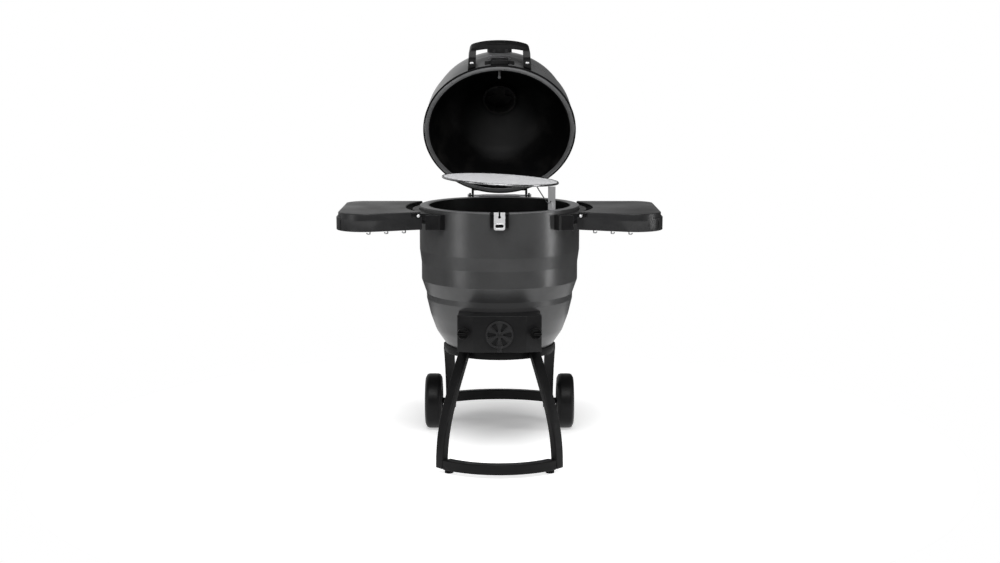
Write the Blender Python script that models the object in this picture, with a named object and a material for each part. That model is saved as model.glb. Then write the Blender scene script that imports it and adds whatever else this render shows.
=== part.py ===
"""Charcoal keg cooker on a wheeled cart, with its lid open.

Every piece is its own object.  Lengths are metres, +Z is up and the cooker faces -Y.
All shapes are drawn in keg coordinates, where the barrel's axis is x = y = 0 and the floor
is z = 0.  The last step moves everything by KEG_Y, which centres the whole cooker on the
origin.  Lid pieces are drawn with the lid shut and then tipped open about the hinge.
"""

import math

import bmesh
import bpy
from mathutils import Matrix, Vector

# ---------------------------------------------------------------- driving dimensions
KEG_Y = 0.0157               # shift that centres the open cooker front to back
FIT = 0.0005                 # running gap between neighbouring pieces

RIM_Z = 0.851                # top of the barrel
RIM_OUTER = 0.2725
RIM_INNER = 0.2435
SHEET = 0.002                # barrel and lid sheet steel
ROUND = 40                   # sides of the big round pieces
BARREL = [                   # outer wall, top to bottom: radius, height
    (0.2722, 0.8475), (0.2747, 0.7900), (0.2747, 0.7000), (0.2685, 0.6550),
    (0.2685, 0.5970), (0.2520, 0.5490), (0.2515, 0.5300), (0.2384, 0.4750),
    (0.2178, 0.4180), (0.1858, 0.3705), (0.1846, 0.3640), (0.0300, 0.3520),
]
FIRE_BOWL = [                # inner wall, outer side, with two ledges for the grates
    (0.2428, 0.8495), (0.2428, 0.7870), (0.2360, 0.7850), (0.2160, 0.6100),
    (0.2050, 0.5930), (0.1960, 0.5910), (0.1400, 0.5400), (0.0620, 0.5360),
]
COOKING_GRATE_R, COOKING_GRATE_Z = 0.2395, 0.7880
CHARCOAL_GRATE_R, CHARCOAL_GRATE_Z = 0.1980, 0.5960

HINGE_Y, HINGE_Z = 0.278, 0.853
LID_OPEN = 59.5              # degrees
LID_RIM = 0.263
LID_BASE = 0.853             # height of the lid's rim when it is shut
LID_SHELL = [                # outer wall, apex to rim: radius, height above the lid's rim
    (0.0610, 0.2420), (0.1050, 0.2350), (0.1490, 0.2220), (0.1830, 0.2040),
    (0.2110, 0.1820), (0.2320, 0.1560), (0.2415, 0.1250), (0.2450, 0.1020),
    (0.2555, 0.0830), (0.2615, 0.0400), (0.2630, 0.0060),
]
LID_LINER = [                # inner wall, apex to rim
    (0.0610, 0.2180), (0.1050, 0.2120), (0.1500, 0.1960), (0.1900, 0.1670),
    (0.2190, 0.1230), (0.2380, 0.0600), (0.2468, 0.0060), (0.2468, 0.0005),
]
VENT_R = 0.054               # bore of the top draft outlet

RING_OUTER, RING_BOTTOM, RING_TOP = 0.190, 0.3435, 0.3695

WHEEL_R, WHEEL_W = 0.100, 0.0625
AXLE_X, AXLE_Y, AXLE_Z = 0.2090, 0.245, 0.100

BAR_R, BAR_Y = 0.297, -0.140       # front bar: outer arc radius and centre
BAR_BOTTOM, BAR_TOP, BAR_DEEP = 0.0145, 0.048, 0.034
LEG_BOTTOM, LEG_HEIGHT = 0.017, 0.3695      # front legs, which end in front of the ring
FRONT_FOOT_AT = (0.190, -0.350)    # front leg centre at the floor
FRONT_TOP_AT = (0.119, -0.167)     # front leg centre at the support ring
LEG_WIDE, LEG_DEEP = 0.034, 0.026  # its tube
FOOT_TURN, TOP_TURN = 48.0, 14.0   # how far its wide face turns outward, in degrees

BOX_HALF = 0.138             # ash box: half width, bottom, top and front face
BOX_BOTTOM, BOX_TOP, BOX_FRONT = 0.400, 0.521, -0.334
BOX_WING, WING_BACK = 0.050, 0.005   # the drawer front's sides bend back
DRAFT_Z, DRAFT_R = 0.459, 0.0457
PETALS = 6
KNOB_X, KNOB_Z, KNOB_R = 0.118, 0.464, 0.0190

LATCH_Y, LATCH_Z = -0.2875, 0.8500   # pivot of the latch plate

SHELF_ARC = 0.318            # shelf edge that runs round the barrel
SHELF_END = 0.5447
SHELF_FRONT, SHELF_BACK = -0.286, 0.175     # at the outer end, and all along the back
SHELF_INNER_FRONT = -0.188                  # where the front wall ends near the barrel
FRONT_CORNER, BACK_CORNER = 0.095, 0.070    # corner radii of the outer end
SHELF_TOP, SHELF_LEDGE, SHELF_BOTTOM = 0.8450, 0.8285, 0.7850
FOLD_X, FOLD_Z = 0.269, 0.8328
HOOK_X, HOOK_WIRE = (0.312, 0.369, 0.426), 0.0020

POST_X, POST_Y = 0.175, -0.130
RACK_AT = (0.003, -0.022, 0.938)
RACK_R, RACK_ROLL = 0.2005, 3.2

GRIP_IN, GRIP_OUT = 0.315, 0.333   # handle grip at its middle, from the keg's axis
LEG_X = 0.0945               # handle legs, half of their spacing
GAUGE_TILT = 30.5            # thermometer face above the horizon, lid shut
GAUGE_Y, GAUGE_UP, GAUGE_R = -0.2265, 0.1640, 0.043


# ---------------------------------------------------------------- scene and materials
def clear_scene():
    for obj in list(bpy.data.objects):
        bpy.data.objects.remove(obj, do_unlink=True)


def material(name, colour, metallic, roughness):
    mat = bpy.data.materials.new(name)
    mat.use_nodes = True
    shader = mat.node_tree.nodes["Principled BSDF"]
    shader.inputs["Base Color"].default_value = (*colour, 1.0)
    shader.inputs["Metallic"].default_value = metallic
    shader.inputs["Roughness"].default_value = roughness
    mat.diffuse_color = (*colour, 1.0)
    return mat


# ---------------------------------------------------------------- mesh helpers
def finish_mesh(name, bm, mat, smooth=35):
    """Turn a bmesh into a linked object that is smooth except at sharp edges."""
    bmesh.ops.recalc_face_normals(bm, faces=bm.faces)
    mesh = bpy.data.meshes.new(name)
    bm.to_mesh(mesh)
    bm.free()
    obj = bpy.data.objects.new(name, mesh)
    bpy.context.collection.objects.link(obj)
    if mat:
        mesh.materials.append(mat)
    if smooth:
        mesh.shade_smooth()
        mesh.set_sharp_from_angle(angle=math.radians(smooth))
    return obj


def ring_points(radius, height, count, centre=(0.0, 0.0)):
    step = 2 * math.pi / count
    return [Vector((centre[0] + radius * math.cos(i * step),
                    centre[1] + radius * math.sin(i * step), height)) for i in range(count)]


def lathe(name, profile, mat, count=48, smooth=35):
    """Revolve a closed (radius, height) outline about Z."""
    bm = bmesh.new()
    rings = []
    for radius, height in profile:
        if radius < 1e-6:
            rings.append([bm.verts.new((0, 0, height))])
        else:
            rings.append([bm.verts.new(p) for p in ring_points(radius, height, count)])
    for a, b in zip(rings, rings[1:] + rings[:1]):
        if len(a) == 1 and len(b) == 1:
            continue
        for i in range(count):
            j = (i + 1) % count
            if len(a) == 1:
                bm.faces.new((a[0], b[j], b[i]))
            elif len(b) == 1:
                bm.faces.new((a[i], a[j], b[0]))
            else:
                bm.faces.new((a[i], a[j], b[j], b[i]))
    return finish_mesh(name, bm, mat, smooth)


def shell_profile(outer, thickness):
    """Close an open outline by following it back one sheet thickness further in."""
    inner = []
    for i, point in enumerate(outer):
        before = Vector(outer[max(i - 1, 0)])
        after = Vector(outer[min(i + 1, len(outer) - 1)])
        along = (after - before).normalized()
        inward = Vector((along.y, -along.x))
        inner.append(tuple(Vector(point) + inward * thickness))
    return list(outer) + inner[::-1]


def prism(name, outline, mat, low, high, axis="Z", smooth=30):
    """Extrude a flat outline from low to high along one axis."""
    turn = {"Z": lambda u, v, w: (u, v, w),
            "Y": lambda u, v, w: (u, w, v),
            "X": lambda u, v, w: (w, u, v)}[axis]
    bm = bmesh.new()
    bottom = [bm.verts.new(turn(u, v, low)) for u, v in outline]
    top = [bm.verts.new(turn(u, v, high)) for u, v in outline]
    bm.faces.new(bottom[::-1])
    bm.faces.new(top)
    count = len(outline)
    for i in range(count):
        j = (i + 1) % count
        bm.faces.new((bottom[i], bottom[j], top[j], top[i]))
    return finish_mesh(name, bm, mat, smooth)


def box(name, low, high, mat):
    outline = [(low[0], low[1]), (high[0], low[1]), (high[0], high[1]), (low[0], high[1])]
    return prism(name, outline, mat, low[2], high[2], smooth=0)


def rod(name, start, end, radius, mat, count=16):
    """A plain round bar between two points."""
    return sweep(name, [Vector(start), Vector(end)], circle_section(radius, count), mat)


def circle_section(radius, count):
    step = 2 * math.pi / count
    return [(radius * math.cos(i * step), radius * math.sin(i * step)) for i in range(count)]


def rounded_section(wide, deep, corner, steps=2):
    """A rectangle with round corners, as (side, normal) pairs."""
    points = []
    for quarter, (sx, sy) in enumerate([(1, 1), (-1, 1), (-1, -1), (1, -1)]):
        for k in range(steps + 1):
            angle = math.radians(90 * quarter + 90 * k / steps)
            points.append((sx * (wide / 2 - corner) + corner * math.cos(angle),
                           sy * (deep / 2 - corner) + corner * math.sin(angle)))
    return points


def sweep(name, path, section, mat, side=None, smooth=35):
    """Carry a section along a path.

    side keeps the section from turning; a list of sides, one for each point, twists it.
    """
    path = [Vector(p) for p in path]
    tangents = []
    for i in range(len(path)):
        ahead = path[min(i + 1, len(path) - 1)]
        behind = path[max(i - 1, 0)]
        tangents.append((ahead - behind).normalized())
    if side is None:
        guess = Vector((0, 0, 1)) if abs(tangents[0].z) < 0.8 else Vector((1, 0, 0))
        side = tangents[0].cross(guess).normalized()
    twist = side if isinstance(side, list) else None
    bm = bmesh.new()
    rings = []
    for i, (point, tangent) in enumerate(zip(path, tangents)):
        side = Vector(twist[i] if twist else side)
        across = (side - tangent * side.dot(tangent)).normalized()
        normal = tangent.cross(across)
        rings.append([bm.verts.new(point + across * u + normal * v) for u, v in section])
        side = across
    count = len(section)
    for a, b in zip(rings, rings[1:]):
        for i in range(count):
            j = (i + 1) % count
            bm.faces.new((a[i], a[j], b[j], b[i]))
    bm.faces.new(rings[0][::-1])
    bm.faces.new(rings[-1])
    return finish_mesh(name, bm, mat, smooth)


def torus(name, radius, wire, mat, centre=(0, 0, 0), count=48, sides=6):
    bm = bmesh.new()
    rings = []
    for i in range(count):
        turn = 2 * math.pi * i / count
        out = Vector((math.cos(turn), math.sin(turn), 0))
        middle = Vector(centre) + out * radius
        rings.append([bm.verts.new(middle + out * u + Vector((0, 0, v)))
                      for u, v in circle_section(wire, sides)])
    for i in range(count):
        a, b = rings[i], rings[(i + 1) % count]
        for k in range(sides):
            m = (k + 1) % sides
            bm.faces.new((a[k], b[k], b[m], a[m]))
    return finish_mesh(name, bm, mat)


def combine(target, tools, operation):
    """Boolean the tools into the target and drop them."""
    for tool in tools:
        change = target.modifiers.new("shape", "BOOLEAN")
        change.operation = operation
        change.solver = "EXACT"
        change.object = tool
    graph = bpy.context.evaluated_depsgraph_get()
    graph.update()
    shaped = bpy.data.meshes.new_from_object(target.evaluated_get(graph))
    target.modifiers.clear()
    old = target.data
    target.data = shaped
    shaped.name = old.name
    bpy.data.meshes.remove(old)
    for tool in tools:
        bpy.data.objects.remove(tool, do_unlink=True)
    shaped.shade_smooth()
    shaped.set_sharp_from_angle(angle=math.radians(30))
    return target


def cut(target, *tools):
    return combine(target, tools, "DIFFERENCE")


def weld(target, *tools):
    return combine(target, tools, "UNION")


def tilt(obj, matrix):
    obj.data.transform(matrix)
    return obj


def about(point, degrees, axis):
    """A turn about an axis through a point."""
    there = Matrix.Translation(Vector(point))
    return there @ Matrix.Rotation(math.radians(degrees), 4, axis) @ there.inverted()


def mirrored(obj, name):
    """A left-hand copy of a right-hand piece."""
    mesh = obj.data.copy()
    mesh.name = name
    mesh.transform(Matrix.Scale(-1, 4, (1, 0, 0)))
    mesh.flip_normals()
    copy = bpy.data.objects.new(name, mesh)
    bpy.context.collection.objects.link(copy)
    return copy


def put_origin(obj, point):
    """Move the object's origin to a point without moving the mesh."""
    obj.data.transform(Matrix.Translation(-Vector(point)))
    obj.location = point
    return obj


def bezier(points, count):
    a, b, c, d = [Vector(p) for p in points]
    path = []
    for i in range(count + 1):
        t = i / count
        s = 1 - t
        path.append(a * s ** 3 + b * 3 * s * s * t + c * 3 * s * t * t + d * t ** 3)
    return path


def arc(radius, centre, start, end, count):
    """Points on a circle from one angle to another, in degrees."""
    points = []
    for i in range(count + 1):
        angle = math.radians(start + (end - start) * i / count)
        points.append((centre[0] + radius * math.cos(angle),
                       centre[1] + radius * math.sin(angle)))
    return points


def round_corner(before, corner, after, radius, count=5):
    """Replace a corner by an arc that touches both of its sides."""
    before, corner, after = Vector(before), Vector(corner), Vector(after)
    to_before = (before - corner).normalized()
    to_after = (after - corner).normalized()
    half = to_before.angle(to_after) / 2
    centre = corner + (to_before + to_after).normalized() * radius / math.sin(half)
    first = corner + to_before * radius / math.tan(half) - centre
    last = corner + to_after * radius / math.tan(half) - centre
    sweep_by = first.angle_signed(last)
    points = []
    for i in range(count + 1):
        turned = first.copy()
        turned.rotate(Matrix.Rotation(-sweep_by * i / count, 2))
        points.append(tuple(centre + turned))
    return points


# ---------------------------------------------------------------- barrel
def make_barrel(mats):
    shell = lathe("body_shell", shell_profile(BARREL, SHEET), mats["keg"], ROUND)
    gap = 0.0006
    cut(shell, box("hole", (-BOX_HALF + 0.002 - gap, -0.30, BOX_BOTTOM + 0.0035 - gap),
                   (BOX_HALF - 0.002 + gap, -0.10, BOX_TOP - 0.0035 + gap), None))
    lathe("fire_bowl", shell_profile(FIRE_BOWL, SHEET), mats["enamel"], ROUND)
    lathe("rim_ring", [(RIM_OUTER, RIM_Z), (RIM_INNER, RIM_Z), (RIM_INNER, RIM_Z - 0.003),
                       (RIM_OUTER, RIM_Z - 0.003), (RIM_OUTER + 0.0008, RIM_Z - 0.0015)],
          mats["rim"], ROUND)
    lathe("support_ring", [(RING_OUTER, RING_TOP), (RING_OUTER - 0.0035, RING_TOP),
                           (RING_OUTER - 0.0035, RING_BOTTOM), (RING_OUTER, RING_BOTTOM)],
          mats["frame"], ROUND)


def grate(name, radius, height, bars, bar_width, mat, sides=ROUND):
    """A flat ring filled with parallel bars, all in one casting."""
    ring = lathe(name, [(radius, height + 0.009), (radius - 0.010, height + 0.009),
                        (radius - 0.010, height), (radius, height)], mat, sides)
    pitch = 2 * (radius - 0.012) / (bars + 1)
    rails = []
    for i in range(bars):
        x = -radius + 0.012 + pitch * (i + 1)
        reach = math.sqrt((radius - 0.006) ** 2 - x * x)
        rails.append(box("bar", (x - bar_width / 2, -reach, height + 0.001),
                         (x + bar_width / 2, reach, height + 0.0085), None))
    return weld(ring, *rails)


def make_grates(mats):
    charcoal = grate("charcoal_grate", CHARCOAL_GRATE_R, CHARCOAL_GRATE_Z, 11, 0.010,
                     mats["cast"], 32)
    cooking = grate("cooking_grate", COOKING_GRATE_R, COOKING_GRATE_Z, 15, 0.008,
                    mats["cast"])
    notch = rod("notch", (POST_X, POST_Y, 0.75), (POST_X, POST_Y, 0.85), 0.030, None, 12)
    cut(cooking, notch)
    return charcoal, cooking


# ---------------------------------------------------------------- cart
def leg_path(foot, top, low, high):
    """A leg that stands upright at the floor and leans over to the ring above."""
    (fx, fy), (tx, ty) = foot, top
    way = Vector((tx - fx, ty - fy, 0))
    reach = way.length
    way.normalize()
    base = Vector((fx, fy, 0))
    plan = [(0, low), (0, 0.150), (0.060, 0.215), (reach + 0.006, high)]
    return bezier([base + way * d + Vector((0, 0, z)) for d, z in plan], 10)


def ring_cope():
    """Clears the space the support ring needs."""
    return lathe("cope", [(RING_OUTER + FIT, 0.5), (RING_OUTER + FIT, 0.2), (0.0, 0.2),
                          (0.0, 0.5)], None, ROUND)


def make_front_frame(mats):
    fx, fy = FRONT_FOOT_AT
    path = leg_path(FRONT_FOOT_AT, FRONT_TOP_AT, LEG_BOTTOM, LEG_HEIGHT)
    sides = []
    for point in path:
        part_way = (point[2] - LEG_BOTTOM) / (LEG_HEIGHT - LEG_BOTTOM)
        turn = math.radians(FOOT_TURN + (TOP_TURN - FOOT_TURN) * part_way)
        sides.append(Vector((math.cos(turn), math.sin(turn), 0)))
    side = sides[0]
    leg = sweep("front_leg_right", path, rounded_section(LEG_WIDE, LEG_DEEP, 0.004, 1),
                mats["frame"], sides)
    cut(leg, ring_cope())
    mirrored(leg, "front_leg_left")

    def end_angle(radius):
        """How far round the bar may go before it meets the leg's inner face."""
        angle = 0.0
        while angle < 60:
            x = radius * math.sin(math.radians(angle))
            y = BAR_Y - radius * math.cos(math.radians(angle))
            if (x - fx) * side.x + (y - fy) * side.y > -LEG_WIDE / 2 - FIT:
                break
            angle += 0.02
        return angle

    outer, inner = BAR_R, BAR_R - BAR_DEEP
    a, b = end_angle(outer), end_angle(inner)
    outline = arc(outer, (0, BAR_Y), -90 - a, -90 + a, 16)
    outline += arc(inner, (0, BAR_Y), -90 + b, -90 - b, 16)
    prism("front_bar", outline, mats["frame"], BAR_BOTTOM, BAR_TOP)
    for word, sign in (("left", -1), ("right", 1)):
        spot = (sign * 0.166, -0.3500)
        foot = lathe("front_foot_" + word, [(0.0, BAR_BOTTOM - FIT), (0.0135, BAR_BOTTOM - FIT),
                                            (0.0150, 0.0), (0.0, 0.0)], mats["rubber"], 14)
        tilt(foot, Matrix.Translation((*spot, 0)))


def make_rear_frame(mats):
    plan = [(0.178, AXLE_Y + 0.002, 0.078), (0.178, AXLE_Y + 0.002, 0.165),
            (0.178, 0.205, 0.225), (0.178, 0.052, 0.345)]
    leg = sweep("rear_leg_right", bezier(plan, 10), rounded_section(0.036, 0.030, 0.004, 1),
                mats["frame"], (1, 0, 0))
    cut(leg, ring_cope())
    mirrored(leg, "rear_leg_left")
    half, low, high = 0.1592, 0.094, 0.130
    front, back, centre = 0.360, 0.386, -0.075
    a = math.degrees(math.asin(half / front))
    b = math.degrees(math.asin(half / back))
    outline = arc(front, (0, centre), 90 + a, 90 - a, 14)
    outline += arc(back, (0, centre), 90 - b, 90 + b, 14)
    prism("rear_bar", outline, mats["frame"], low, high)
    axle = lathe("axle_right", [(0.0, 0.0), (0.011, 0.0), (0.011, 0.0122), (0.006, 0.0122),
                                (0.006, 0.0740), (0.0115, 0.0740), (0.0115, 0.0770),
                                (0.0, 0.0770)], mats["frame"], 14)
    tilt(axle, Matrix.Translation((0.1965, AXLE_Y, AXLE_Z)) @ Matrix.Rotation(math.pi / 2, 4, "Y"))
    mirrored(axle, "axle_left")


def make_wheels(mats):
    wide, r = WHEEL_W, WHEEL_R
    tread = [(0.066, 0.0), (r - 0.014, 0.0), (r - 0.004, 0.004), (r, 0.014), (r, wide - 0.014),
             (r - 0.004, wide - 0.004), (r - 0.014, wide), (0.066, wide)]
    middle = [(0.0065, 0.0045), (0.018, 0.0045), (0.018, 0.020), (0.056, 0.020), (0.060, 0.003),
              (0.0655, 0.003), (0.0655, wide - 0.003), (0.060, wide - 0.003), (0.056, 0.040),
              (0.024, 0.040), (0.020, wide - 0.002), (0.0065, wide - 0.002)]
    lay = Matrix.Translation((AXLE_X, AXLE_Y, AXLE_Z)) @ Matrix.Rotation(math.pi / 2, 4, "Y")
    for name, outline, mat, count in (("tyre", tread, "tyre", 28), ("hub", middle, "plastic", 16)):
        right = tilt(lathe(name + "_right", outline, mats[mat], count), lay)
        left = mirrored(right, name + "_left")
        put_origin(right, (AXLE_X, AXLE_Y, AXLE_Z))
        put_origin(left, (-AXLE_X, AXLE_Y, AXLE_Z))


# ---------------------------------------------------------------- draft and ash box
def petal(radius_in, radius_out, centre_angle, half_angle, low, high):
    """A wedge-shaped cutter standing along Y."""
    outline = arc(radius_out, (0, DRAFT_Z), centre_angle - half_angle,
                  centre_angle + half_angle, 4)
    outline += arc(radius_in, (0, DRAFT_Z), centre_angle + half_angle,
                   centre_angle - half_angle, 2)
    return prism("petal", outline, None, low, high, "Y")


def make_ash_box(mats):
    wall, half = 0.002, BOX_HALF - 0.002
    low, high = BOX_BOTTOM + 0.0035, BOX_TOP - 0.0035
    housing = box("ash_housing", (-half, BOX_FRONT + 0.014, low), (half, 0.020, high),
                  mats["black"])
    cut(housing, box("bore", (-half + wall, -0.5, low + wall), (half - wall, 0.5, high - wall),
                     None),
        rod("fall", (0, 0, high - 0.01), (0, 0, high + 0.01), 0.052, None, 24))
    outline = [(-BOX_HALF + BOX_WING, BOX_FRONT), (BOX_HALF - BOX_WING, BOX_FRONT),
               (BOX_HALF, BOX_FRONT + WING_BACK), (BOX_HALF, BOX_FRONT + 0.0125),
               (-BOX_HALF, BOX_FRONT + 0.0125), (-BOX_HALF, BOX_FRONT + WING_BACK)]
    drawer = prism("ash_drawer", outline, mats["black"], BOX_BOTTOM, BOX_TOP, smooth=0)
    tray = box("tray", (-0.131, BOX_FRONT + 0.0115, 0.4105), (0.131, 0.012, 0.4450), None)
    weld(drawer, tray)
    cut(drawer, box("well", (-0.129, BOX_FRONT + 0.0145, 0.4125), (0.129, 0.010, 0.4600), None))
    step = 360 / PETALS
    holes = [petal(0.011, DRAFT_R - 0.006, 90 + step * i, 13, -0.5, BOX_FRONT + 0.02)
             for i in range(PETALS)]
    screws = [rod("screw", (s * KNOB_X, -0.5, KNOB_Z), (s * KNOB_X, BOX_FRONT + 0.02, KNOB_Z),
                  0.0038, None, 12) for s in (-1, 1)]
    rivet_hole = rod("rivet_hole", (0, -0.5, DRAFT_Z), (0, BOX_FRONT + 0.02, DRAFT_Z), 0.0035,
                     None, 12)
    cut(drawer, *holes, *screws, rivet_hole)
    return drawer


def make_draft_wheel(mats):
    """Its blades cover the drawer's holes until it is turned half a step."""
    front, back = BOX_FRONT - 0.0055, BOX_FRONT - FIT
    wheel = rod("draft_wheel", (0, back, DRAFT_Z), (0, front, DRAFT_Z), DRAFT_R,
                mats["black"], 30)
    tab = box("tab", (-0.008, front - 0.006, DRAFT_Z - DRAFT_R - 0.010),
              (0.008, back - 0.001, DRAFT_Z - DRAFT_R + 0.010), None)
    weld(wheel, tab)
    step = 360 / PETALS
    slots = [petal(0.011, DRAFT_R - 0.006, 90 + step * (i + 0.5), 13, -0.5, 0.0)
             for i in range(PETALS)]
    bore = rod("bore", (0, -0.5, DRAFT_Z), (0, 0, DRAFT_Z), 0.0035, None, 12)
    cut(wheel, *slots, bore)
    put_origin(wheel, (0, BOX_FRONT, DRAFT_Z))
    rivet = lathe("draft_rivet", [(0.0, 0.0), (0.0065, 0.001), (0.0070, 0.003), (0.0030, 0.003),
                                  (0.0030, 0.0225), (0.0065, 0.0225), (0.0065, 0.0245),
                                  (0.0, 0.0245)], mats["black"], 12)
    tilt(rivet, Matrix.Translation((0, front - 0.0034, DRAFT_Z))
         @ Matrix.Rotation(-math.pi / 2, 4, "X"))


def make_drawer_knobs(mats):
    front = BOX_FRONT - 0.0006
    outline = [(0.0, 0.0), (0.0030, 0.0), (0.0030, 0.013), (0.014, 0.013), (0.014, 0.0175),
               (KNOB_R, 0.0195), (KNOB_R, 0.0290), (KNOB_R - 0.003, 0.0320), (0.0, 0.0320)]
    for word, sign in (("left", -1), ("right", 1)):
        knob = lathe("drawer_knob_" + word, outline, mats["plastic"], 18)
        lobes = [rod("lobe", (0.0215 * math.cos(a), 0.0215 * math.sin(a), 0.010),
                     (0.0215 * math.cos(a), 0.0215 * math.sin(a), 0.040), 0.0045, None, 8)
                 for a in [math.radians(60 * i) for i in range(6)]]
        cut(knob, *lobes)
        tilt(knob, Matrix.Translation((0, front + 0.013, 0)) @ Matrix.Rotation(math.pi / 2, 4, "X"))
        knob.location = (sign * KNOB_X, 0, KNOB_Z)
        put = Vector((0, front, 0))
        knob.data.transform(Matrix.Translation(-put))
        knob.location.y = front


# ---------------------------------------------------------------- latch
def make_latch(mats):
    base = box("latch_base", (-0.0315, -0.2925, 0.8040), (0.0315, -0.2700, 0.8540),
               mats["black"])
    channel = box("channel", (-0.0280, -0.3000, 0.8000), (0.0280, -0.2800, 0.8600), None)
    drum = lathe("drum", [(0.2752, 0.9), (0.0, 0.9), (0.0, 0.7), (0.2752, 0.7)], None, ROUND)
    pin_hole = rod("pin_hole", (-0.05, LATCH_Y, LATCH_Z), (0.05, LATCH_Y, LATCH_Z), 0.0026,
                   None, 12)
    cut(base, channel, drum, pin_hole)
    rod("latch_pin", (-0.0312, LATCH_Y, LATCH_Z), (0.0312, LATCH_Y, LATCH_Z), 0.0021,
        mats["black"], 12)
    half, low, high = 0.0182, 0.7970, 0.8550
    corners = [(-half, high), (-half, low), (half, low), (half, high)]
    outline = [corners[0]] + round_corner(corners[0], corners[1], corners[2], 0.006, 4)
    outline += round_corner(corners[1], corners[2], corners[3], 0.006, 4) + [corners[3]]
    plate = prism("latch_plate", outline, mats["steel"], -0.2935, -0.2912, "Y")
    ears = [box("ear", (x - 0.0015, -0.2925, 0.8450), (x + 0.0015, -0.2838, 0.8540), None)
            for x in (-0.0160, 0.0160)]
    weld(plate, *ears)
    finger = arc(0.0065, (-0.0075, 0.8105), 270, 90, 6) + arc(0.0065, (0.0075, 0.8105), 90, -90, 6)
    keyhole = prism("keyhole", arc(0.0046, (0, 0.8395), 127, 413, 8)
                    + [(0.0028, 0.87), (-0.0028, 0.87)], None, -0.31, -0.28, "Y")
    bore = rod("bore", (-0.05, LATCH_Y, LATCH_Z), (0.05, LATCH_Y, LATCH_Z), 0.0026, None, 12)
    cut(plate, prism("finger", finger, None, -0.31, -0.28, "Y"), keyhole, bore)
    put_origin(plate, (0, LATCH_Y, LATCH_Z))


# ---------------------------------------------------------------- side shelves
def shelf_outline(arc_radius, front, end, back):
    """The shelf seen from above, with its front, end and back moved in by these amounts."""
    y_front, y_back = SHELF_INNER_FRONT + front, SHELF_BACK - back
    corners = [(math.sqrt(arc_radius ** 2 - y_front ** 2), y_front),
               (SHELF_END - end, SHELF_FRONT + front), (SHELF_END - end, y_back),
               (math.sqrt(arc_radius ** 2 - y_back ** 2), y_back)]
    outline = [corners[0]]
    outline += round_corner(corners[0], corners[1], corners[2], FRONT_CORNER - end, 8)
    outline += round_corner(corners[1], corners[2], corners[3], BACK_CORNER - end, 6)
    start = math.degrees(math.atan2(corners[3][1], corners[3][0]))
    stop = math.degrees(math.atan2(corners[0][1], corners[0][0]))
    return outline + arc(arc_radius, (0, 0), start, stop, 12)[:-1]


def make_shelf(mats):
    """A skirt and, stepped in from it at the end and back, a raised top.  Open underneath."""
    shelf = prism("shelf_right", shelf_outline(SHELF_ARC, 0, 0, 0), mats["shelf"],
                  SHELF_BOTTOM, SHELF_LEDGE)
    weld(shelf, prism("raised", shelf_outline(SHELF_ARC + 0.003, 0.0006, 0.007, 0.005), None,
                      SHELF_LEDGE - 0.005, SHELF_TOP))
    wall = 0.0035
    open_under = prism("under", shelf_outline(SHELF_ARC - 0.010, wall, wall, wall), None,
                       0.7, 0.8250)
    open_top = prism("upper", shelf_outline(SHELF_ARC - 0.010, 0.0041, 0.0105, 0.0085), None,
                     0.8, 0.8415)
    pins = rod("pins", (FOLD_X, -0.3, FOLD_Z), (FOLD_X, 0.3, FOLD_Z), 0.0035, None, 12)
    cut(shelf, open_under, open_top, pins)
    return shelf


def make_shelf_bracket(mats):
    inner, outer = 0.2755, 0.2985
    outline = arc(outer, (0, 0), -49, 34.5, 11) + arc(inner, (0, 0), 34.5, -49, 11)
    bracket = prism("shelf_bracket_right", outline, mats["black"], 0.7880, 0.8380)
    cut(bracket, box("swing_room", (0.2185, -0.30, 0.7), (0.40, -0.1830, 0.9), None),
        box("under", (0.2185, -0.2, 0.7), (0.40, 0.2, 0.8010), None))
    cheek = box("cheek", (0.1930, -0.2165, 0.7880), (0.2445, -0.2125, 0.8380), None)
    weld(bracket, cheek)
    for low, high in ((-0.1790, -0.1650), (0.1500, 0.1640)):
        lug = prism("lug", arc(0.0068, (FOLD_X, FOLD_Z), 90, -90, 6)
                    + [(0.215, 0.8010), (0.215, 0.8380)], None, low, high, "Y")
        weld(bracket, lug)
    drum = lathe("drum", [(inner, 0.9), (0.0, 0.9), (0.0, 0.7), (inner, 0.7)], None, ROUND)
    holes = rod("holes", (FOLD_X, -0.3, FOLD_Z), (FOLD_X, 0.3, FOLD_Z), 0.0035, None, 12)
    cut(bracket, drum, holes)
    return bracket


def make_shelf_pins(mats):
    """Short headed pins that the shelf folds on, one at the front and one at the back."""
    bolt = [(0.0, 0.0), (0.0065, 0.0), (0.0065, 0.0035), (0.0030, 0.0035), (0.0030, 0.0300),
            (0.0, 0.0300)]
    for word, y, turn in (("front", -0.1985, -90), ("back", 0.1790, 90)):
        pin = lathe("shelf_pin_%s_right" % word, bolt, mats["steel"], 10)
        tilt(pin, Matrix.Translation((FOLD_X, y, FOLD_Z))
             @ Matrix.Rotation(math.radians(turn), 4, "X"))
        mirrored(pin, "shelf_pin_%s_left" % word)


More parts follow.
